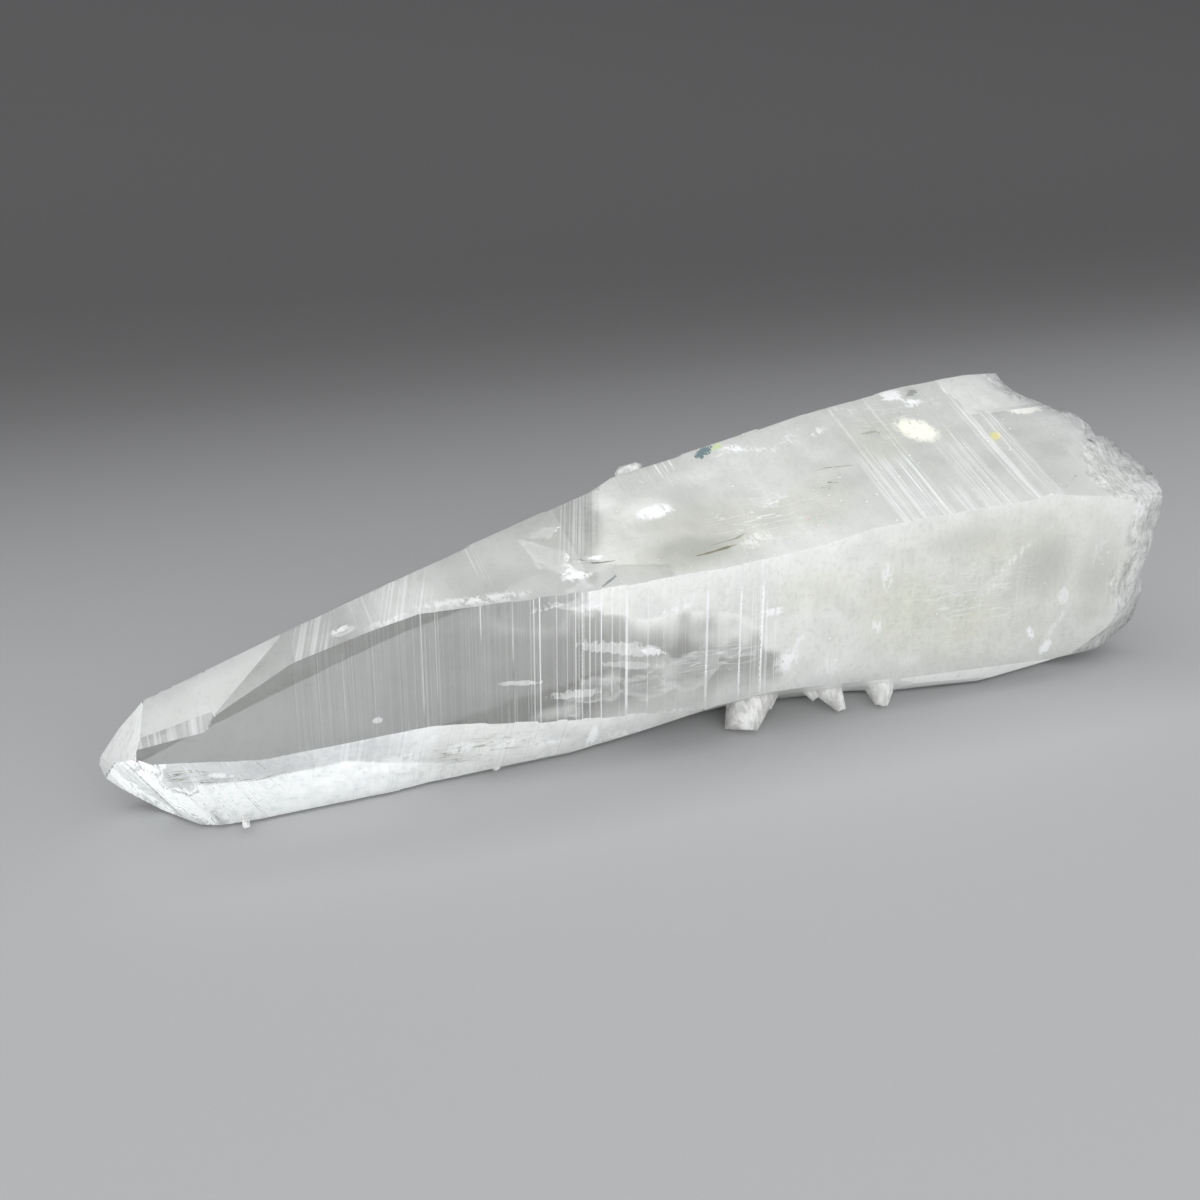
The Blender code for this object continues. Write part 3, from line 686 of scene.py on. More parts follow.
def clear_whiteness(at, milk, film):
    """How white the clear part is: that of its face, and more at films, near the milk and by the foot."""
    x, y, z = at.x, at.y, at.z
    tip = 0.16 * ease(x, 44.0, 30.0) - 0.1 * ease(x, 50.0, 62.0) * ease(y, 4.0, 9.0)
    strip = at.top * (tip - 0.2 * ease(at.upright, 74.0, 76.0))
    haze = FACE_HAZE[at.kinds] - strip + at.front * 0.14 * ease(x, 70.0, 84.0) + 0.5 * film
    haze = haze + at.top * law(TOP_HAZE, x) + at.front * 0.05 * ease(x, 50.0, 58.0)
    side = ~at.top * ease(milk, -28.0, 4.0) * (0.15 + 0.5 * ease(at.middle, -0.1, 0.6))
    foot = at.front * ease(x, 62.0, 80.0) * ease(z, 15.0, 7.0) * 0.5
    return haze + (side + foot) * (1.0 - at.under)


def growth_streaks(at):
    """How bright the growth streaks are, or how dark below 0, the place along which they change, and how
    fibrous the top face is."""
    x, y, z, upright = at.x, at.y, at.z, at.upright
    bands = sum(
        ease(x, a - 0.2, a + 0.2) * ease(x, b + 0.2, b - 0.2) * ease(y, up, up - 6.0)
        for a, b, up in TOP_BANDS
    )
    corner = ease(x, 84.0, 88.0) * ease(y, 17.0, 22.0) * ease(x, 104.0, 98.0)
    streak = at.top * (0.75 * bands + 0.25 * corner)
    fibrous = at.top * ease(upright, 66.5, 69.0) * ease(upright, 75.6, 75.0) * ease(y, 3.0, 12.0)
    streak = streak + 0.8 * fibrous
    streak = streak + at.front * 0.12 * ease(x, 20.0, 30.0) * ease(x, 116.0, 104.0)
    narrow = ease(x, 25.0, 25.5) * ease(x, 33.5, 30.0) + ease(x, 38.0, 41.0) * ease(x, 50.0, 46.0)
    streak = streak + at.top * 0.8 * narrow
    combed = ease(x, 28.0, 33.0) * ease(x, 50.0, 44.0)
    dark = 0.25 + 0.6 * ease(x, 24.0, 18.0) - 1.2 * combed * ease(z, 4.0, 6.0)
    streak = streak - at.under * dark + (at.kinds == LIP)
    along = x - at.top * TOP_LEAN * y * (upright < 76.0) + at.under * 0.55 * z * ease(x, 30.0, 18.0)
    return streak, np.where(at.kinds == LIP, 0.4 * x, along), fibrous


def underside(at):
    """The undercut faces near the tip, with painted light: bright slanting blocks and then a dull upper
    and a bright lower part. Gives how lit each corner is, and the painted shade along the edges of the
    blocks."""
    x, z = at.x, at.z
    slant = x + 0.5 * z
    block = value_noise(slant + 40.0, 0.25 * z, 1.5, 91) + 0.25 * value_noise(x + 40.0, z, 0.9, 92)
    near_tip = ease(slant, 17.0, 13.0)
    lower = ease(law(UNDER_EDGE, x) - z, -0.2, 0.3) * ease(x, 62.0, 40.0)
    lit = lower * (1.0 - near_tip) + near_tip * ease(block, -0.45, -0.25)
    # The second value is painted shade along the edges of the blocks.
    return lit, at.under * near_tip * (1.0 - ease(np.abs(block), 0.02, 0.12))


def inner_glow(at, lit, edge):
    """How much light each corner sends out, for what the crystal gathers from inside."""
    x = at.x
    fade = ease(x, 100.0, 70.0)
    glow = FACE_GLOW[at.kinds] * np.where(at.under, fade, 1.0)
    # More glow where the underside has painted light, less along the block edges, which carry painted
    # shade.
    glow = glow + at.under * fade * (0.055 + 0.25 * lit + 0.04 * at.middle) - 0.3 * edge
    glow = glow + 0.05 * (at.kinds == BACK_TOP) * ease(x, 95.0, 80.0)
    return (glow + at.under * (0.16 * ease(x, 112.0, 140.0) - law(UNDER_DULL, x))).clip(0.0)


def milk_colour(at, settings, lit):
    """Colour of the milk at full brightness: warm in the stained patches and cool under the tip."""
    olive = ease(at.near(TOP_OLIVE, FRONT_OLIVE) + 0.25 * at.middle, -0.3, 0.9)
    tint = 0.75 * olive + 0.2 * ease(at.broad, -0.3, 0.8) + 0.25 * at.front * ease(at.x, 120.0, 140.0)
    hue = shade(tint, settings.milk_colour, settings.olive_colour)
    # Under the tip the cool hue is a little brighter where the painted light falls.
    return shade(at.under * ease(at.x, 50.0, 40.0), hue, COOL * (0.985 + 0.015 * lit[:, None]))


def milk_brightness(at, film, fibrous, bubbly, bubble, lit, edge):
    """How bright the milk is: a law along each face, uneven, brighter at films, darker where grey."""
    # Painted shade on the underside near the tip: darker where unlit and along the edges of the blocks.
    below = 0.83 - 0.12 * (1.0 - lit) * ease(at.x, 46.0, 34.0) - 0.35 * edge
    level = at.pick(law(TOP_LEVEL, at.x), law(FRONT_LEVEL, at.x), np.where(at.under, below, 0.8))
    level = np.where((at.x < 75.0) & ~at.under, 0.86, level)
    level = level * (1.0 + 0.065 * at.middle + 0.05 * at.broad + 0.045 * at.small)
    level = level + (0.95 - level) * film * 0.8 - 0.12 * fibrous
    grey = ease(at.near(TOP_GREY, FRONT_GREY) + 0.2 * at.small, -0.2, 0.9)
    return level * (1.0 - 0.26 * grey) * (1.0 + bubbly * 0.35 * bubble)


def quartz_marks(points, kinds, settings):
    """Numbers and colours for every corner of every face that say how the quartz looks there."""
    at = Places(points, kinds)
    milk, (bubbly, bubble) = milk_depth(at), bubbles(at)
    film = ease(at.near(TOP_FILMS, FRONT_FILMS), 0.0, 0.4)
    streak, along, fibrous = growth_streaks(at)
    lit, edge = underside(at)
    level = milk_brightness(at, film, fibrous, bubbly, bubble, lit, edge)
    threads, cracks = at.near(TOP_THREADS, FRONT_THREADS), at.near(TOP_CRACKS, (), UNDER_CRACKS)
    return {
        "milk": milk,
        "thick": milk_whiteness(at, bubbly, bubble) * settings.milk,
        "thin": clear_whiteness(at, milk, film) * settings.milk,
        # Painted reflections: glints where inner cracks catch the light.
        "flash": at.near(TOP_FLASHES, FRONT_FLASHES, UNDER_FLASHES),
        "thread": threads.clip(0.0) - cracks.clip(0.0),
        "streak": streak,
        "along": along,
        "glow": inner_glow(at, lit, edge),
        "cloud": np.clip(level[:, None] * milk_colour(at, settings, lit), 0.05, 0.97),
        # Colour of the bright marks, cream at two of the painted reflections.
        "bright": shade(ease(at.near(CREAM_FLASHES), -0.6, 0.2), settings.flash_colour, CREAM),
        "bubbly": bubbly,
    }


def mark_mesh(item, name, values, domain="CORNER"):
    """An attribute that holds a number, or a colour, for every corner or face."""
    if values.ndim == 1:
        data = item.data.attributes.new(name, "FLOAT", domain).data
        data.foreach_set("value", values.astype(np.float32))
        return
    colours = np.concatenate((values, np.ones((len(values), 1))), axis=1).astype(np.float32)
    item.data.attributes.new(name, "FLOAT_COLOR", domain).data.foreach_set("color", colours.ravel())


def put_mesh(name, points, triangles, material, sharp=None):
    """A mesh object from arrays, smooth over every edge less sharp than the angle given."""
    mesh = bpy.data.meshes.new(name)
    mesh.vertices.add(len(points))
    mesh.vertices.foreach_set("co", np.asarray(points, np.float32).ravel())
    mesh.loops.add(triangles.size)
    mesh.loops.foreach_set("vertex_index", np.asarray(triangles, np.int32).ravel())
    mesh.polygons.add(len(triangles))
    mesh.polygons.foreach_set("loop_start", np.arange(0, triangles.size, 3, dtype=np.int32))
    mesh.polygons.foreach_set("loop_total", np.full(len(triangles), 3, np.int32))
    mesh.update(calc_edges=True)
    mesh.validate()
    item = bpy.data.objects.new(name, mesh)
    bpy.context.scene.collection.objects.link(item)
    mesh.materials.append(material)
    if sharp is not None:
        mesh.shade_smooth()
        mesh.set_sharp_from_angle(angle=math.radians(sharp))
    return item


# ---------------------------------------------------------------- shader maths


class Value:
    """A socket in a node tree; the operators add Math nodes."""

    def __init__(self, net, socket):
        self.net, self.socket = net, socket

    def _math(self, operation, *others):
        return self.net.add("ShaderNodeMath", {"operation": operation}, self, *others)

    def __add__(self, other):
        return self._math("ADD", other)

    __radd__ = __add__

    def __mul__(self, other):
        return self._math("MULTIPLY", other)

    __rmul__ = __mul__

    def __sub__(self, other):
        return self._math("SUBTRACT", other)

    def __rsub__(self, other):
        return self.net.add("ShaderNodeMath", {"operation": "SUBTRACT"}, other, self)

    def size(self):
        """The value without its sign."""
        return self._math("ABSOLUTE")

    def clamp(self):
        """The value kept between 0 and 1."""
        return self.net.add("ShaderNodeClamp", {}, self)

    def ramp(self, low, high, start=0.0, end=1.0):
        """Start below low, end above high, eased between."""
        easing = {"interpolation_type": "SMOOTHSTEP"}
        return self.net.add("ShaderNodeMapRange", easing, self, low, high, start, end)


class Net:
    """Builds the node tree of a material or world."""

    def __init__(self, owner, kind="Material"):
        self.owner = owner
        owner.use_nodes = True
        self.tree = owner.node_tree
        self.tree.nodes.clear()
        self.output = self.tree.nodes.new("ShaderNodeOutput" + kind)

    def add(self, kind, settings, *inputs, out=0, **named):
        """A node of that type: its settings first, then socket values or links by place or by name."""
        node = self.tree.nodes.new(kind)
        for key, value in settings.items():
            setattr(node, key, value)
        pairs = [(node.inputs[index], value) for index, value in enumerate(inputs)]
        pairs += [(node.inputs[key.replace("_", " ")], value) for key, value in named.items()]
        for socket, value in pairs:
            if isinstance(value, Value):
                self.tree.links.new(value.socket, socket)
            elif value is not None:
                socket.default_value = value
        return Value(self, node.outputs[out])

    def surface(self, value, volume=None):
        """Link the finished shader, and its volume, to the output."""
        self.tree.links.new(value.socket, self.output.inputs["Surface"])
        if volume is not None:
            self.tree.links.new(volume.socket, self.output.inputs["Volume"])
        return self.owner

    def place(self):
        """Object coordinates, moved so that they read in the crystal's own axes, in millimetres."""
        own = self.add("ShaderNodeTexCoord", {}, out=3)
        shift = tuple(-a / MM + b for a, b in zip(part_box(NODE)[0], OWN_LOW))
        return self.add("ShaderNodeMapping", {}, own, shift, (0.0, 0.0, 0.0), (1 / MM, 1 / MM, 1 / MM))

    def stretch(self, vector, *scale):
        """The vector with its three numbers scaled."""
        return self.add("ShaderNodeMapping", {}, vector, Scale=scale)

    def split(self, vector):
        """The three numbers of a vector."""
        node = self.tree.nodes.new("ShaderNodeSeparateXYZ")
        self.tree.links.new(vector.socket, node.inputs[0])
        return [Value(self, output) for output in node.outputs]

    def noise(self, vector, scale, detail, rough=0.55):
        """Fractal noise from 0 to 1."""
        return self.add(
            "ShaderNodeTexNoise", {}, Vector=vector, Scale=scale, Detail=detail, Roughness=rough
        )

    def mark(self, name, out=2):
        """The number that an attribute holds, or its colour with out=0."""
        return self.add("ShaderNodeAttribute", {"attribute_name": name}, out=out)

    def blend(self, share, first, second):
        """Colour between first and second, by a share that is kept between 0 and 1."""
        ends = [end if isinstance(end, Value) else (*end, 1.0) for end in (first, second)]
        return self.add("ShaderNodeMix", {"data_type": "RGBA"}, share, *[None] * 5, *ends, out=2)

    def mix(self, share, first, second):
        """Two shaders mixed, by the share of the second."""
        return self.add("ShaderNodeMixShader", {}, share, first, second)


def clear_glass(net, roughness):
    """Clear quartz."""
    return net.add(
        "ShaderNodeBsdfPrincipled", {}, Base_Color=CLEAR, Roughness=roughness, IOR=QUARTZ_IOR,
        Transmission_Weight=1.0,
    )


def soft_white(net, colour, depth, glow, strength):
    """Milky quartz, in which light scatters to a depth in metres. Its glow isn't sampled as a light."""
    net.owner.cycles.emission_sampling = "NONE"
    return net.add(
        "ShaderNodeBsdfPrincipled", {}, Base_Color=colour, Roughness=MILK_ROUGHNESS, IOR=QUARTZ_IOR,
        Subsurface_Weight=1.0, Subsurface_Radius=(1.0, 1.0, 1.0), Subsurface_Scale=depth,
        Emission_Color=glow, Emission_Strength=strength,
    )


def spot(u, v, ellipse, ragged, sway=0.0):
    """1 inside an ellipse in the plane of u and v and 0 outside, with a ragged rim. Sway bends it."""
    cu, cv, ru, rv, turn = ellipse
    cos, sin = math.cos(math.radians(turn)), math.sin(math.radians(turn))
    u, v = u - cu, v - cv
    a, b = (u * cos + v * sin) * (1.0 / ru), (v * cos - u * sin + sway) * (1.0 / rv)
    return 1.0 - (a * a + b * b + ragged).ramp(0.8, 1.2)


# Lens-shaped films behind the front face: centre, half sizes, turn, strength.
LENS_FILMS = (
    (79.8, 22.2, 8, 1.15, -14, 0.5), (85.4, 20.7, 2.4, 0.55, -14, 0.5), (80.8, 19, 5, 0.7, -11, 0.36),
    (71.6, 15.4, 4.4, 0.8, -6, 0.5), (61.4, 19.2, 3.4, 0.42, -8, 0.6), (173.2, 17.6, 1.3, 1.7, 0, 0.4),
    (69.6, 31.2, 2.8, 0.5, -20, 0.3), (37.5, 17.3, 0.8, 0.5, 0, 0.7),
)
# Dark cracks and spots of colour on the top face: centre, half sizes, turn, colour.
DARK_CRACKS = (
    (98.6, 3.8, 3.9, 0.22, 6, (0.25, 0.25, 0.15)), (78.4, 5.6, 2.2, 0.2, -8, (0.22, 0.24, 0.2)),
    (77.9, 1.5, 1.9, 0.24, 28, (0.3, 0.33, 0.33)), (129.5, 15, 4.2, 0.14, -4, (0.4, 0.4, 0.34)),
    (141.5, 22, 2.2, 0.3, 4, (0.42, 0.42, 0.34)), (102.4, 5.6, 4, 0.12, 10, (0.4, 0.4, 0.3)),
)
COLOUR_SPOTS = (
    (108.6, 26.4, 2.5, 0.9, 24, (0.14, 0.22, 0.22)), (111.4, 26.8, 1.4, 0.55, 24, (0.7, 0.88, 0.42)),
    (166.8, 16.5, 1.3, 1, 24, (0.85, 0.8, 0.35)), (157.2, 31, 1.8, 0.6, 24, (0.35, 0.37, 0.36)),
)
RUST_SPOT, RUST = (119, 5, 2.4, 2.6, 0), (0.75, 0.5, 0.38)
GRAIN, CRACK = (0.5, 0.51, 0.45), (0.16, 0.17, 0.1)


def lens_films(x, y, z, fine, fibres, wander):
    """Bright ragged films behind the front face."""
    ragged, sway = (fibres - 0.5) * 2.6 + (fine - 0.5) * 2.4, (wander - 0.5) * 1.2
    films = sum(spot(x, z, ellipse, ragged, sway) * strength for *ellipse, strength in LENS_FILMS)
    return films * (1.0 - y.ramp(0.3, 0.8)) * (0.3 + fibres * 1.1)


def top_colours(net, cloud, x, y, z, fine, bars, wander):
    """The milk's colour with the dark cracks, the spots of colour and the rust of the top face."""
    upper, back = z.ramp(32.5, 33.0) * y.ramp(0.2, 0.6), z.ramp(42.5, 43.0)
    ragged, sway = (fine - 0.5) * 2.4, (wander - 0.5) * 1.6
    grain = (bars - 0.5) * 4.5 + (fine - 0.5) * 5.0
    for *ellipse, colour in DARK_CRACKS:
        cloud = net.blend(spot(x, y, ellipse, ragged, sway) * upper, cloud, colour)
    for *ellipse, colour in COLOUR_SPOTS:
        cloud = net.blend(spot(x, y, ellipse, grain) * back, cloud, colour)
    rust = spot(x, y, RUST_SPOT, (fine - 0.3) * 9.0) * upper
    return net.blend(rust * 0.5, cloud, RUST)


def quartz_skin_material(settings):
    """Clear quartz that turns milky towards the root: glass mixed with a soft white. Broad shapes come
    from the attributes, and noise adds the fine ones: grain, threads, cracks and growth streaks."""
    net = Net(bpy.data.materials.new("quartz_skin"))
    place = net.place()
    x, y, z = net.split(place)
    fine = net.noise(place, 0.9, 3.0, 0.6)
    fibres = net.noise(net.stretch(place, 1.0, 0.22, 0.22), 1.5, 2.0, 0.6)
    wander = net.noise(net.stretch(place, 0.1, 1.0, 1.0), 0.6, 2.0, 0.6)
    growth = net.add("ShaderNodeCombineXYZ", {}, net.mark("along") * 2.2, (y + z) * 0.012, 0.0)
    bars = net.noise(growth, 1.0, 2.0, 0.75)

    body = (net.mark("milk") + (fine - 0.5) * 4.0).ramp(-2.0, 2.5)
    clear = 1.0 - body
    amount = body * (net.mark("thick") - fibres * 0.08)
    amount = amount + clear * net.mark("thin") * (0.75 + 0.5 * fine)
    amount = amount + net.mark("bubbly") * ((fine - 0.46) * 1.2 + (fibres - 0.46) * 0.9)

    streak = net.mark("streak")
    bright_bars = ((bars.ramp(0.44, 0.62) * 0.7 + 0.1) * streak).clamp()
    dark_bars = ((bars + (fine - 0.5) * 0.5).ramp(0.6, 0.68) * streak * -1.0).clamp()
    vein = net.mark("thread") * (1.0 - (wander - 0.5).size().ramp(0.006, 0.02))
    thread, crack = vein.clamp(), (vein * -2.0).clamp()

    # Painted reflections: glints where inner cracks catch the light.
    flash = net.mark("flash")
    flashes = (flash * 0.95 + (fibres - 0.5) * 2.2 + (fine - 0.5) * 2.6).ramp(0.2, 0.55)
    flashes = flashes * flash.ramp(0.0, 0.2) * flash.ramp(0.0, 1.0)
    # Sparks: painted glints in the milk.
    sparks = (fine - 0.68).ramp(0.0, 0.04) * body
    # Bright marks: growth lines, streaks and threads of the quartz itself, with the painted reflections
    # and glints.
    light = (net.mark("line") + flashes + bright_bars * 0.55 + thread + sparks * 0.6).clamp()
    light = (light + lens_films(x, y, z, fine, fibres, wander)).clamp()
    amount = amount - dark_bars * 0.4
    amount = (amount + light * (1.0 - amount)).clamp()

    cloud = net.blend(fine.ramp(0.45, 0.75) * 0.32, net.mark("cloud", 0), GRAIN)
    cloud = top_colours(net, net.blend(crack, cloud, CRACK), x, y, z, fine, bars, wander)
    colour = net.blend(light, cloud, net.mark("bright", 0))
    # Painted glow: the glow of each corner, and a little more at the bright marks in the milk.
    shine = net.mark("glow") * (1.0 - 0.8 * dark_bars) * (0.5 + fine) + light * body * 0.05
    glow = net.blend(shine.clamp(), (0.0, 0.0, 0.0), (0.95, 1.0, 1.0))

    glass = clear_glass(net, settings.gloss_roughness)
    mixed = net.mix(amount, glass, soft_white(net, colour, 0.03, glow, 1.0))
    return net.surface(mixed, net.add("ShaderNodeVolumeAbsorption", {}, *ABSORPTION))


def small_crystal_material(settings):
    """The small crystals: glass with some milk in streaks."""
    net = Net(bpy.data.materials.new("small_crystal_quartz"))
    place = net.place()
    cloud = net.noise(net.stretch(place, 1.0, 0.5, 0.35), 0.9, 3.0)
    fine = net.noise(place, 2.2, 2.0)
    colour = net.blend(fine.ramp(0.4, 0.7), (0.95, 0.96, 0.92), (0.88, 0.89, 0.83))
    # The milky streaks carry a faint painted glow.
    white = soft_white(net, colour, 0.003, (1.0, 1.0, 0.96, 1.0), 0.12)
    share = cloud.ramp(0.35, 0.65) * 0.42 + 0.44
    return net.surface(net.mix(share, clear_glass(net, settings.gloss_roughness), white))


def veil_material():
    """Cracks and veils inside: a thin bright film with a streaky grain."""
    net = Net(bpy.data.materials.new("veil_film"))
    grain = net.noise(net.stretch(net.place(), 0.35, 1.0, 1.0), 1.6, 2.0, 0.6)
    clear = net.add("ShaderNodeBsdfTransparent", {}, CLEAR)
    film = net.add(
        # Its emission is a faint painted glow.
        "ShaderNodeBsdfPrincipled", {}, Base_Color=(0.97, 0.97, 0.96, 1.0), Roughness=0.35,
        Emission_Color=(0.95, 1.0, 1.0, 1.0), Emission_Strength=0.25,
    )
    net.owner.cycles.emission_sampling = "NONE"
    return net.surface(net.mix(net.mark("whiteness") * grain.ramp(0.2, 0.7), clear, film))


# ---------------------------------------------------------------- settings


def colour_setting(name, description, default):
    """A colour that can be chosen in the panel."""
    return bpy.props.FloatVectorProperty(
        name=name, description=description, default=default, size=3, min=0.0, max=1.0, subtype="COLOR"
    )


def number_setting(name, description, default, **more):
    """A number, not below 0, that can be set in the panel."""
    return bpy.props.FloatProperty(name=name, description=description, default=default, min=0.0, **more)


class QuartzSettings(bpy.types.PropertyGroup):
    """Milk, colours and gloss of the crystal."""

    milk: number_setting("Milkiness", "How white the milky half is", 1.0, max=1.2, subtype="FACTOR")
    milk_colour: colour_setting("Milk", "Colour of the milky quartz", (0.993, 1.0, 0.96))
    olive_colour: colour_setting("Stain", "Colour of the warm patches in the milk", (0.955, 0.965, 0.865))
    # Colour of the painted reflections (flashes) and of the threads.
    flash_colour: colour_setting("Flashes", "Colour of the flashes and threads", (0.96, 0.975, 0.975))
    gloss_roughness: number_setting(
        "Face roughness", "Roughness of the clear faces", 0.02, max=1.0, subtype="FACTOR"
    )


class StageSettings(bpy.types.PropertyGroup):
    """Floor, backdrop and lights."""

    floor_colour: colour_setting("Floor", "Colour of the floor", (0.46, 0.46, 0.465))
    backdrop_colour: colour_setting("Backdrop", "Colour of the backdrop", (0.1, 0.098, 0.1))
    key_power: number_setting("Window light", "Power of the light behind and above", 5.0, unit="POWER")
    fill_power: number_setting("Front light", "Power of the large light in front", 11.0, unit="POWER")
    horizon: number_setting("Horizon light", "Strength of the soft light at the horizon", 0.45)
    overhead: number_setting("Overhead light", "Strength of the soft light overhead", 1.0)


# ---------------------------------------------------------------- operators


class CRYSTAL_OT_skin(bpy.types.Operator):
    """Grow the faces of the crystal, with their growth lines and the broken root"""

    bl_idname = "crystal.skin"
    bl_label = "Crystal"

    def execute(self, context):
        points, triangles, kinds = crystal_surface()
        settings = context.scene.quartz
        material = quartz_skin_material(settings)
        item = put_mesh("crystal", own_to_row(points), triangles, material, sharp=5.0)
        x, y, z = points[triangles].mean(axis=1).T
        white = np.where(kinds == FRONT, line_whiteness(FRONT_LINES, x, z), 0.0)
        white = np.where(np.isin(kinds, (TOP, CORNER)), line_whiteness(TOP_LINES, x, y), white)
        white = np.where(np.isin(kinds, (BACK, BACK_TOP)), line_whiteness(BACK_LINES, x, y), white)
        mark_mesh(item, "line", white, "FACE")
        marks = quartz_marks(points[triangles.ravel()], np.repeat(kinds, 3), settings)
        for name, values in marks.items():
            mark_mesh(item, name, values)
        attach(item, BODY)
        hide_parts(NODE)
        return {"FINISHED"}


def gather(parts):
    """Join pairs of points and triangles into one pair."""
    starts = np.cumsum([0] + [len(points) for points, _triangles in parts])
    triangles = [triangles + start for (_points, triangles), start in zip(parts, starts)]
    return np.concatenate([points for points, _triangles in parts]), np.concatenate(triangles)


def prism(foot, tip, radius, point, blunt, seed):
    """A prism with a pyramid: four rings of corners carried along the growth line."""
    sides = SMALL_CRYSTAL_SIDES
    foot, tip = np.array(foot), np.array(tip)
    growth = tip - foot
    length = np.linalg.norm(growth)
    growth = growth / length
    side = np.cross(growth, (0.0, 1.0, 0.1))
    side /= np.linalg.norm(side)
    other = np.cross(growth, side)
    rng = np.random.default_rng(seed)
    along = np.array((0.0, 0.5 * (length - point), length - point, length - 0.02))
    share = np.array((1.0, 0.98, 0.95, blunt))[:, None, None]
    turn = np.linspace(0.0, 2 * math.pi, sides, endpoint=False) + rng.uniform(-0.22, 0.22, sides)
    reach = radius * rng.uniform(0.82, 1.12, sides)
    offset = np.cos(turn)[:, None] * side + np.sin(turn)[:, None] * other
    slope = np.array((0.0, 0.0, 0.35, 0.3))[:, None, None] * rng.uniform(-0.5, 0.5, sides)[None, :, None]
    rings = foot + (along[:, None, None] + slope * radius) * growth
    rings = rings + share * reach[None, :, None] * offset[None]
    points = np.concatenate((rings.reshape(-1, 3), [foot, tip]))
    points[:, 2] = np.maximum(points[:, 2], SMALL_CRYSTAL_LOW)
    row, column, right = ring_grid(3, sides)
    a, b = row * sides + column, row * sides + right
    ring = np.arange(sides)
    following = (ring + 1) % sides
    last = 3 * sides
    triangles = np.concatenate((
        quads(a, a + sides, b + sides, b), fan(ring, following, last + sides),
        fan(last + following, last + ring, last + sides + 1),
    ))
    return points, triangles[:, ::-1]


# Sheets inside the crystal, in mm: point of the face that they are seen through, depth behind it, half
# sizes, the direction that the sheet faces, the turn in its plane, bend, whiteness.
FRONT_VEILS = (
    ((84, 19.6), 6, (5.5, 3), (-0.1, -0.6, 0.8), -8, 0.8, 0.5),
    ((75.5, 15.2), 5, (6, 2.6), (0.15, -0.5, 0.85), 10, 1.2, 0.6),
    ((70.5, 13.6), 4, (3.4, 2), (0.3, -0.6, 0.7), 30, 0.8, 0.7),
    ((93, 15.5), 6, (7.5, 3.2), (0.2, -0.6, 0.7), 6, 1.2, 0.6),
    ((73, 31), 3, (3.5, 2.4), (0, -0.8, 0.6), 0, 0.8, 0.8),
    ((101, 20), 8, (7, 5), (0.2, -0.6, 0.75), 10, 1.2, 0.6),
    ((85, 14), 5, (6, 3), (0.1, -0.7, 0.7), 0, 1, 0.6),
)
TOP_VEILS = (
    ((70, 7.6), 1.2, (2.4, 7), (-0.6, -0.2, 0.75), 90, 1, 0.7),
    ((76.5, 5.6), 1.6, (5, 1.8), (0, -0.3, 0.95), 0, 0.5, 0.9),
    ((33, 2), 1, (2.4, 0.9), (0, -0.3, 0.95), 0, 0.3, 0.9),
    ((71.5, 13.6), 1, (2.6, 1.6), (-0.2, -0.3, 0.9), 30, 0.6, 0.8),
)
# Directions in which the two faces are seen through, half the thickness of a sheet, and its grid: points
# round it and rings.
THROUGH_FRONT = np.array((0.269, 1.0, -0.235))
THROUGH_TOP = np.array((0.2534, 0.740, -0.622))
VEIL_HALF = 0.03
VEIL_GRID = (48, 9)


def lens_sheet(centre, half, facing, turn, bend, seed):
    """A thin closed sheet on a polar grid: a ragged ellipse, bowed by the square of its radius and
    roughened by noise, with a front and a back that meet at the rim. Also the share of the radius at each
    point."""
    around, rings = VEIL_GRID
    facing = np.array(facing) / np.linalg.norm(facing)
    across = np.cross((0.0, 0.0, 1.0), facing)
    across /= np.linalg.norm(across)
    up = np.cross(facing, across)
    angle = math.radians(turn)
    u = math.cos(angle) * across + math.sin(angle) * up
    v = np.cross(facing, u)
    theta = np.linspace(0.0, 2.0 * math.pi, around, endpoint=False)[None, :]
    share = np.linspace(0.0, 1.0, rings)[1:, None]
    ragged = 1.0 + 0.28 * value_noise(3.0 + 2.0 * np.cos(theta), 3.0 + 2.0 * np.sin(theta), 0.55, seed)
    pointed = 0.45 + 0.55 * np.sin(theta) ** 2
    a, b = half[0] * share * ragged * np.cos(theta), half[1] * share * ragged * pointed * np.sin(theta)
    bow = bend * share ** 2 * np.cos(theta + seed)
    bow = bow + 0.16 * value_noise(a + 30.0, b + 30.0, 1.1, seed + 50)
    flat = centre + a[..., None] * u + b[..., None] * v
    thick = VEIL_HALF * (1.0 - share ** 2)
    front, back = (flat + (bow + sign * thick)[..., None] * facing for sign in (1.0, -1.0))
    middle = [centre + VEIL_HALF * facing, centre - VEIL_HALF * facing]
    points = np.concatenate((front.reshape(-1, 3), back[:-1].reshape(-1, 3), middle))
    row, column, right = ring_grid(rings - 2, around)
    p, q = row * around + column, row * around + right
    ring = np.arange(around)
    inner = (rings - 1) * around + np.arange((rings - 2) * around).reshape(-1, around)
    back_rows = np.concatenate((inner, (rings - 2) * around + ring[None]))
    r0, r1 = back_rows[:-1], back_rows[1:]
    s0, s1 = np.roll(r0, -1, axis=1), np.roll(r1, -1, axis=1)
    hub = len(points) - 2
    triangles = np.concatenate((
        quads(p, p + around, q + around, q), quads(r0, s0, s1, r1), fan(ring, (ring + 1) % around, hub),
        fan(s0[0], r0[0], hub + 1),
    ))
    fade = np.repeat(share, around, axis=1)
    return points, triangles, np.concatenate((fade.ravel(), fade[:-1].ravel(), (0.0, 0.0)))


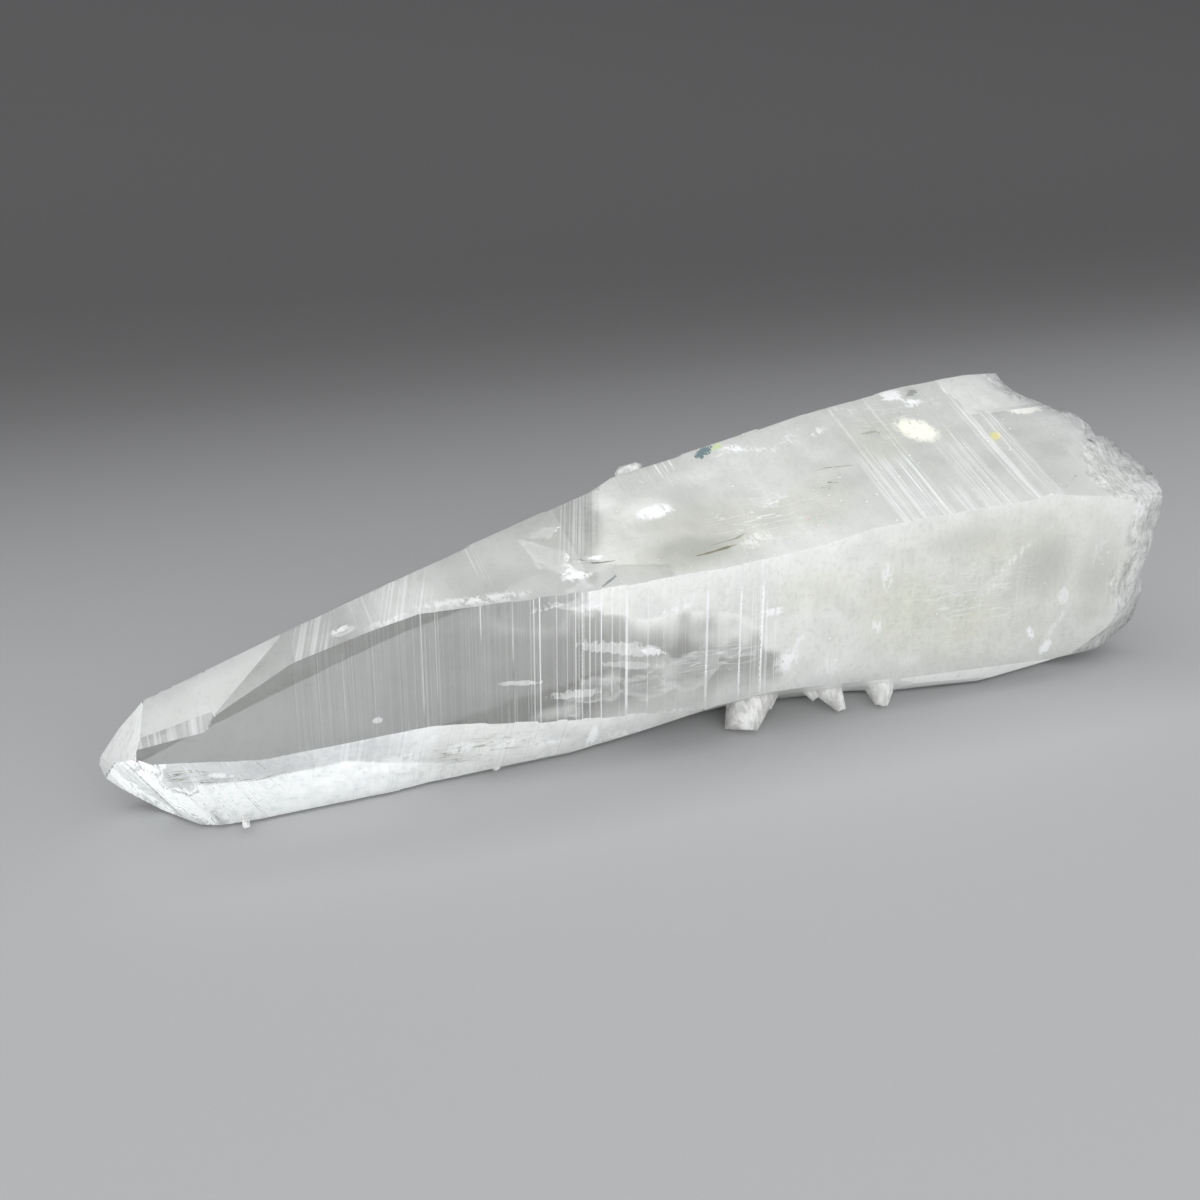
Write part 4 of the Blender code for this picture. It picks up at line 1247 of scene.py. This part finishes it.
class CRYSTAL_OT_veils(bpy.types.Operator):
    """Place the bright cracks and veils inside the clear half"""

    bl_idname = "crystal.veils"
    bl_label = "Veils"

    def execute(self, context):
        rows = []
        for (x, z), depth, *rest in FRONT_VEILS:
            rows.append((np.array((x, 0.0, z)) + depth * THROUGH_FRONT, rest))
        for (x, y), depth, *rest in TOP_VEILS:
            height = float(law(TOP_HEIGHT, x)) + TOP_SLOPE * y
            rows.append((np.array((x, y, height)) + depth * THROUGH_TOP, rest))
        parts, whites = [], []
        for seed, (centre, (*shape, white)) in enumerate(rows):
            points, triangles, fade = lens_sheet(centre, *shape, seed + 3)
            parts.append((points, triangles))
            whites.append(white * (0.45 + 0.55 * fade ** 4)[triangles.ravel()])
        points, triangles = gather(parts)
        item = put_mesh("inner_veils", own_to_row(points), triangles, veil_material(), sharp=60.0)
        mark_mesh(item, "whiteness", np.concatenate(whites))
        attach(item, BODY)
        return {"FINISHED"}


class CRYSTAL_OT_small(bpy.types.Operator):
    """Grow the small crystals under the front edge and on the ridge"""

    bl_idname = "crystal.small"
    bl_label = "Small Crystals"

    def execute(self, context):
        points, triangles = gather([prism(*row, seed) for seed, row in enumerate(SMALL_CRYSTALS)])
        material = small_crystal_material(context.scene.quartz)
        item = put_mesh("small_crystals", own_to_row(points), triangles, material)
        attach(item, BODY)
        return {"FINISHED"}


# Floor and backdrop: a profile (y, z) carried straight across, and how far it reaches each way.
FLOOR_PROFILE = (
    (-1.2, 0), (0.3, 0), (0.36, 0.004), (0.42, 0.018), (0.48, 0.045), (0.53, 0.085), (0.56, 0.14),
    (0.58, 0.22), (0.58, 1.1),
)
FLOOR_HALF_WIDTH = 1.6
FLOOR_DROP = 0.0005
# Camera: place in the crystal's own axes, turn in degrees, focal length and frame width in mm.
CAMERA_PLACE = (-19.8, -208.3, 114.8)
CAMERA_TURN = (70.0, 0.0, -24.6)
FOCAL_LENGTH, FRAME_WIDTH = 45.0, 36.0
# Lights: place, the point that they are aimed at, size, colour.
WINDOW_LIGHT = ((-0.5, 0.7, 1.1), (0.0, 0.0, 0.0), (1.4, 1.0), (1.0, 0.99, 0.97))
FILL_LIGHT = ((-0.3, -1.3, 0.55), (0.0, 0.0, 0.02), (1.6, 0.8), (0.97, 0.98, 1.0))


def floor_mesh(settings):
    """The floor that runs up into the backdrop, shaded from one colour to the other."""
    y, z = np.array(FLOOR_PROFILE).T
    x = np.array((-FLOOR_HALF_WIDTH, FLOOR_HALF_WIDTH))
    grid_x, grid_y = np.meshgrid(x, y, indexing="ij")
    grid_z = np.repeat((z - FLOOR_DROP)[None], 2, axis=0)
    points = np.stack((grid_x, grid_y, grid_z), axis=2).reshape(-1, 3)
    n = len(y)
    i = np.arange(n - 1)
    net = Net(bpy.data.materials.new("floor_matt"))
    _x, depth, _z = net.split(net.add("ShaderNodeTexCoord", {}, out=3))
    colour = net.blend(depth.ramp(-0.05, 0.45), settings.floor_colour, settings.backdrop_colour)
    shader = net.add("ShaderNodeBsdfPrincipled", {}, Base_Color=colour, Roughness=0.9)
    return put_mesh("floor", points, quads(i, i + n, i + n + 1, i + 1), net.surface(shader), sharp=80.0)


def area_light(name, place, aim, size, colour, power):
    """A soft rectangular light at place, aimed at a point."""
    data = bpy.data.lights.new(name, "AREA")
    data.shape = "RECTANGLE"
    data.size, data.size_y = size
    data.energy = power
    data.color = colour
    item = bpy.data.objects.new(name, data)
    bpy.context.scene.collection.objects.link(item)
    item.location = place
    item.rotation_euler = (Vector(aim) - Vector(place)).to_track_quat("-Z", "Y").to_euler()


def dome_light(scene, settings):
    """Soft light from all round: dim at the horizon and bright overhead."""
    scene.world = bpy.data.worlds.new("studio")
    net = Net(scene.world, "World")
    _x, _y, height = net.split(net.add("ShaderNodeTexCoord", {}))
    strength = height.ramp(0.0, 0.9, settings.horizon, settings.overhead)
    net.surface(net.add("ShaderNodeBackground", {}, (0.97, 0.985, 1.0, 1.0), strength))


def put_camera(scene):
    """The camera, at its place beside the crystal."""
    data = bpy.data.cameras.new("camera")
    data.lens, data.sensor_width = FOCAL_LENGTH, FRAME_WIDTH
    data.clip_start = 0.01
    camera = bpy.data.objects.new("camera", data)
    scene.collection.objects.link(camera)
    camera.location = own_to_row(np.array(CAMERA_PLACE))
    camera.rotation_euler = [math.radians(angle) for angle in CAMERA_TURN]
    scene.camera = camera


class CRYSTAL_OT_stage(bpy.types.Operator):
    """Set out the floor, the backdrop, the lights and the camera"""

    bl_idname = "crystal.stage"
    bl_label = "Stage"

    def execute(self, context):
        scene, settings = context.scene, context.scene.crystal_stage
        floor = floor_mesh(settings)
        dome_light(scene, settings)
        area_light("window", *WINDOW_LIGHT, settings.key_power)
        area_light("fill", *FILL_LIGHT, settings.fill_power)
        put_camera(scene)
        cycles = scene.cycles
        cycles.max_bounces, cycles.glossy_bounces, cycles.transmission_bounces = 14, 7, 12
        cycles.diffuse_bounces = 2
        cycles.use_light_tree = False
        scene.view_settings.view_transform = "Standard"
        return {"FINISHED"}


class CRYSTAL_PT_panel(bpy.types.Panel):
    """Lists the settings and the steps"""

    bl_idname = "CRYSTAL_PT_panel"
    bl_label = "Quartz Crystal Point"
    bl_space_type = "VIEW_3D"
    bl_region_type = "UI"
    bl_category = "Crystal"

    def draw(self, context):
        layout = self.layout
        for group in (context.scene.quartz, context.scene.crystal_stage):
            for name in group.__annotations__:
                layout.prop(group, name)
        for operator in STEPS:
            layout.operator(operator.bl_idname)


STEPS = (CRYSTAL_OT_skin, CRYSTAL_OT_veils, CRYSTAL_OT_small, CRYSTAL_OT_stage)
CLASSES = (QuartzSettings, StageSettings) + STEPS + (CRYSTAL_PT_panel,)


def register():
    """Register the classes and hang the settings on the scene."""
    for item in CLASSES:
        bpy.utils.register_class(item)
    bpy.types.Scene.quartz = bpy.props.PointerProperty(type=QuartzSettings)
    bpy.types.Scene.crystal_stage = bpy.props.PointerProperty(type=StageSettings)


def unregister():
    """Take everything off again."""
    del bpy.types.Scene.quartz
    del bpy.types.Scene.crystal_stage
    for item in reversed(CLASSES):
        bpy.utils.unregister_class(item)


def main():
    """Register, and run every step."""
    register()
    bpy.ops.crystal.skin()
    bpy.ops.crystal.veils()
    bpy.ops.crystal.small()
    bpy.ops.crystal.stage()


if __name__ == "__main__":
    main()
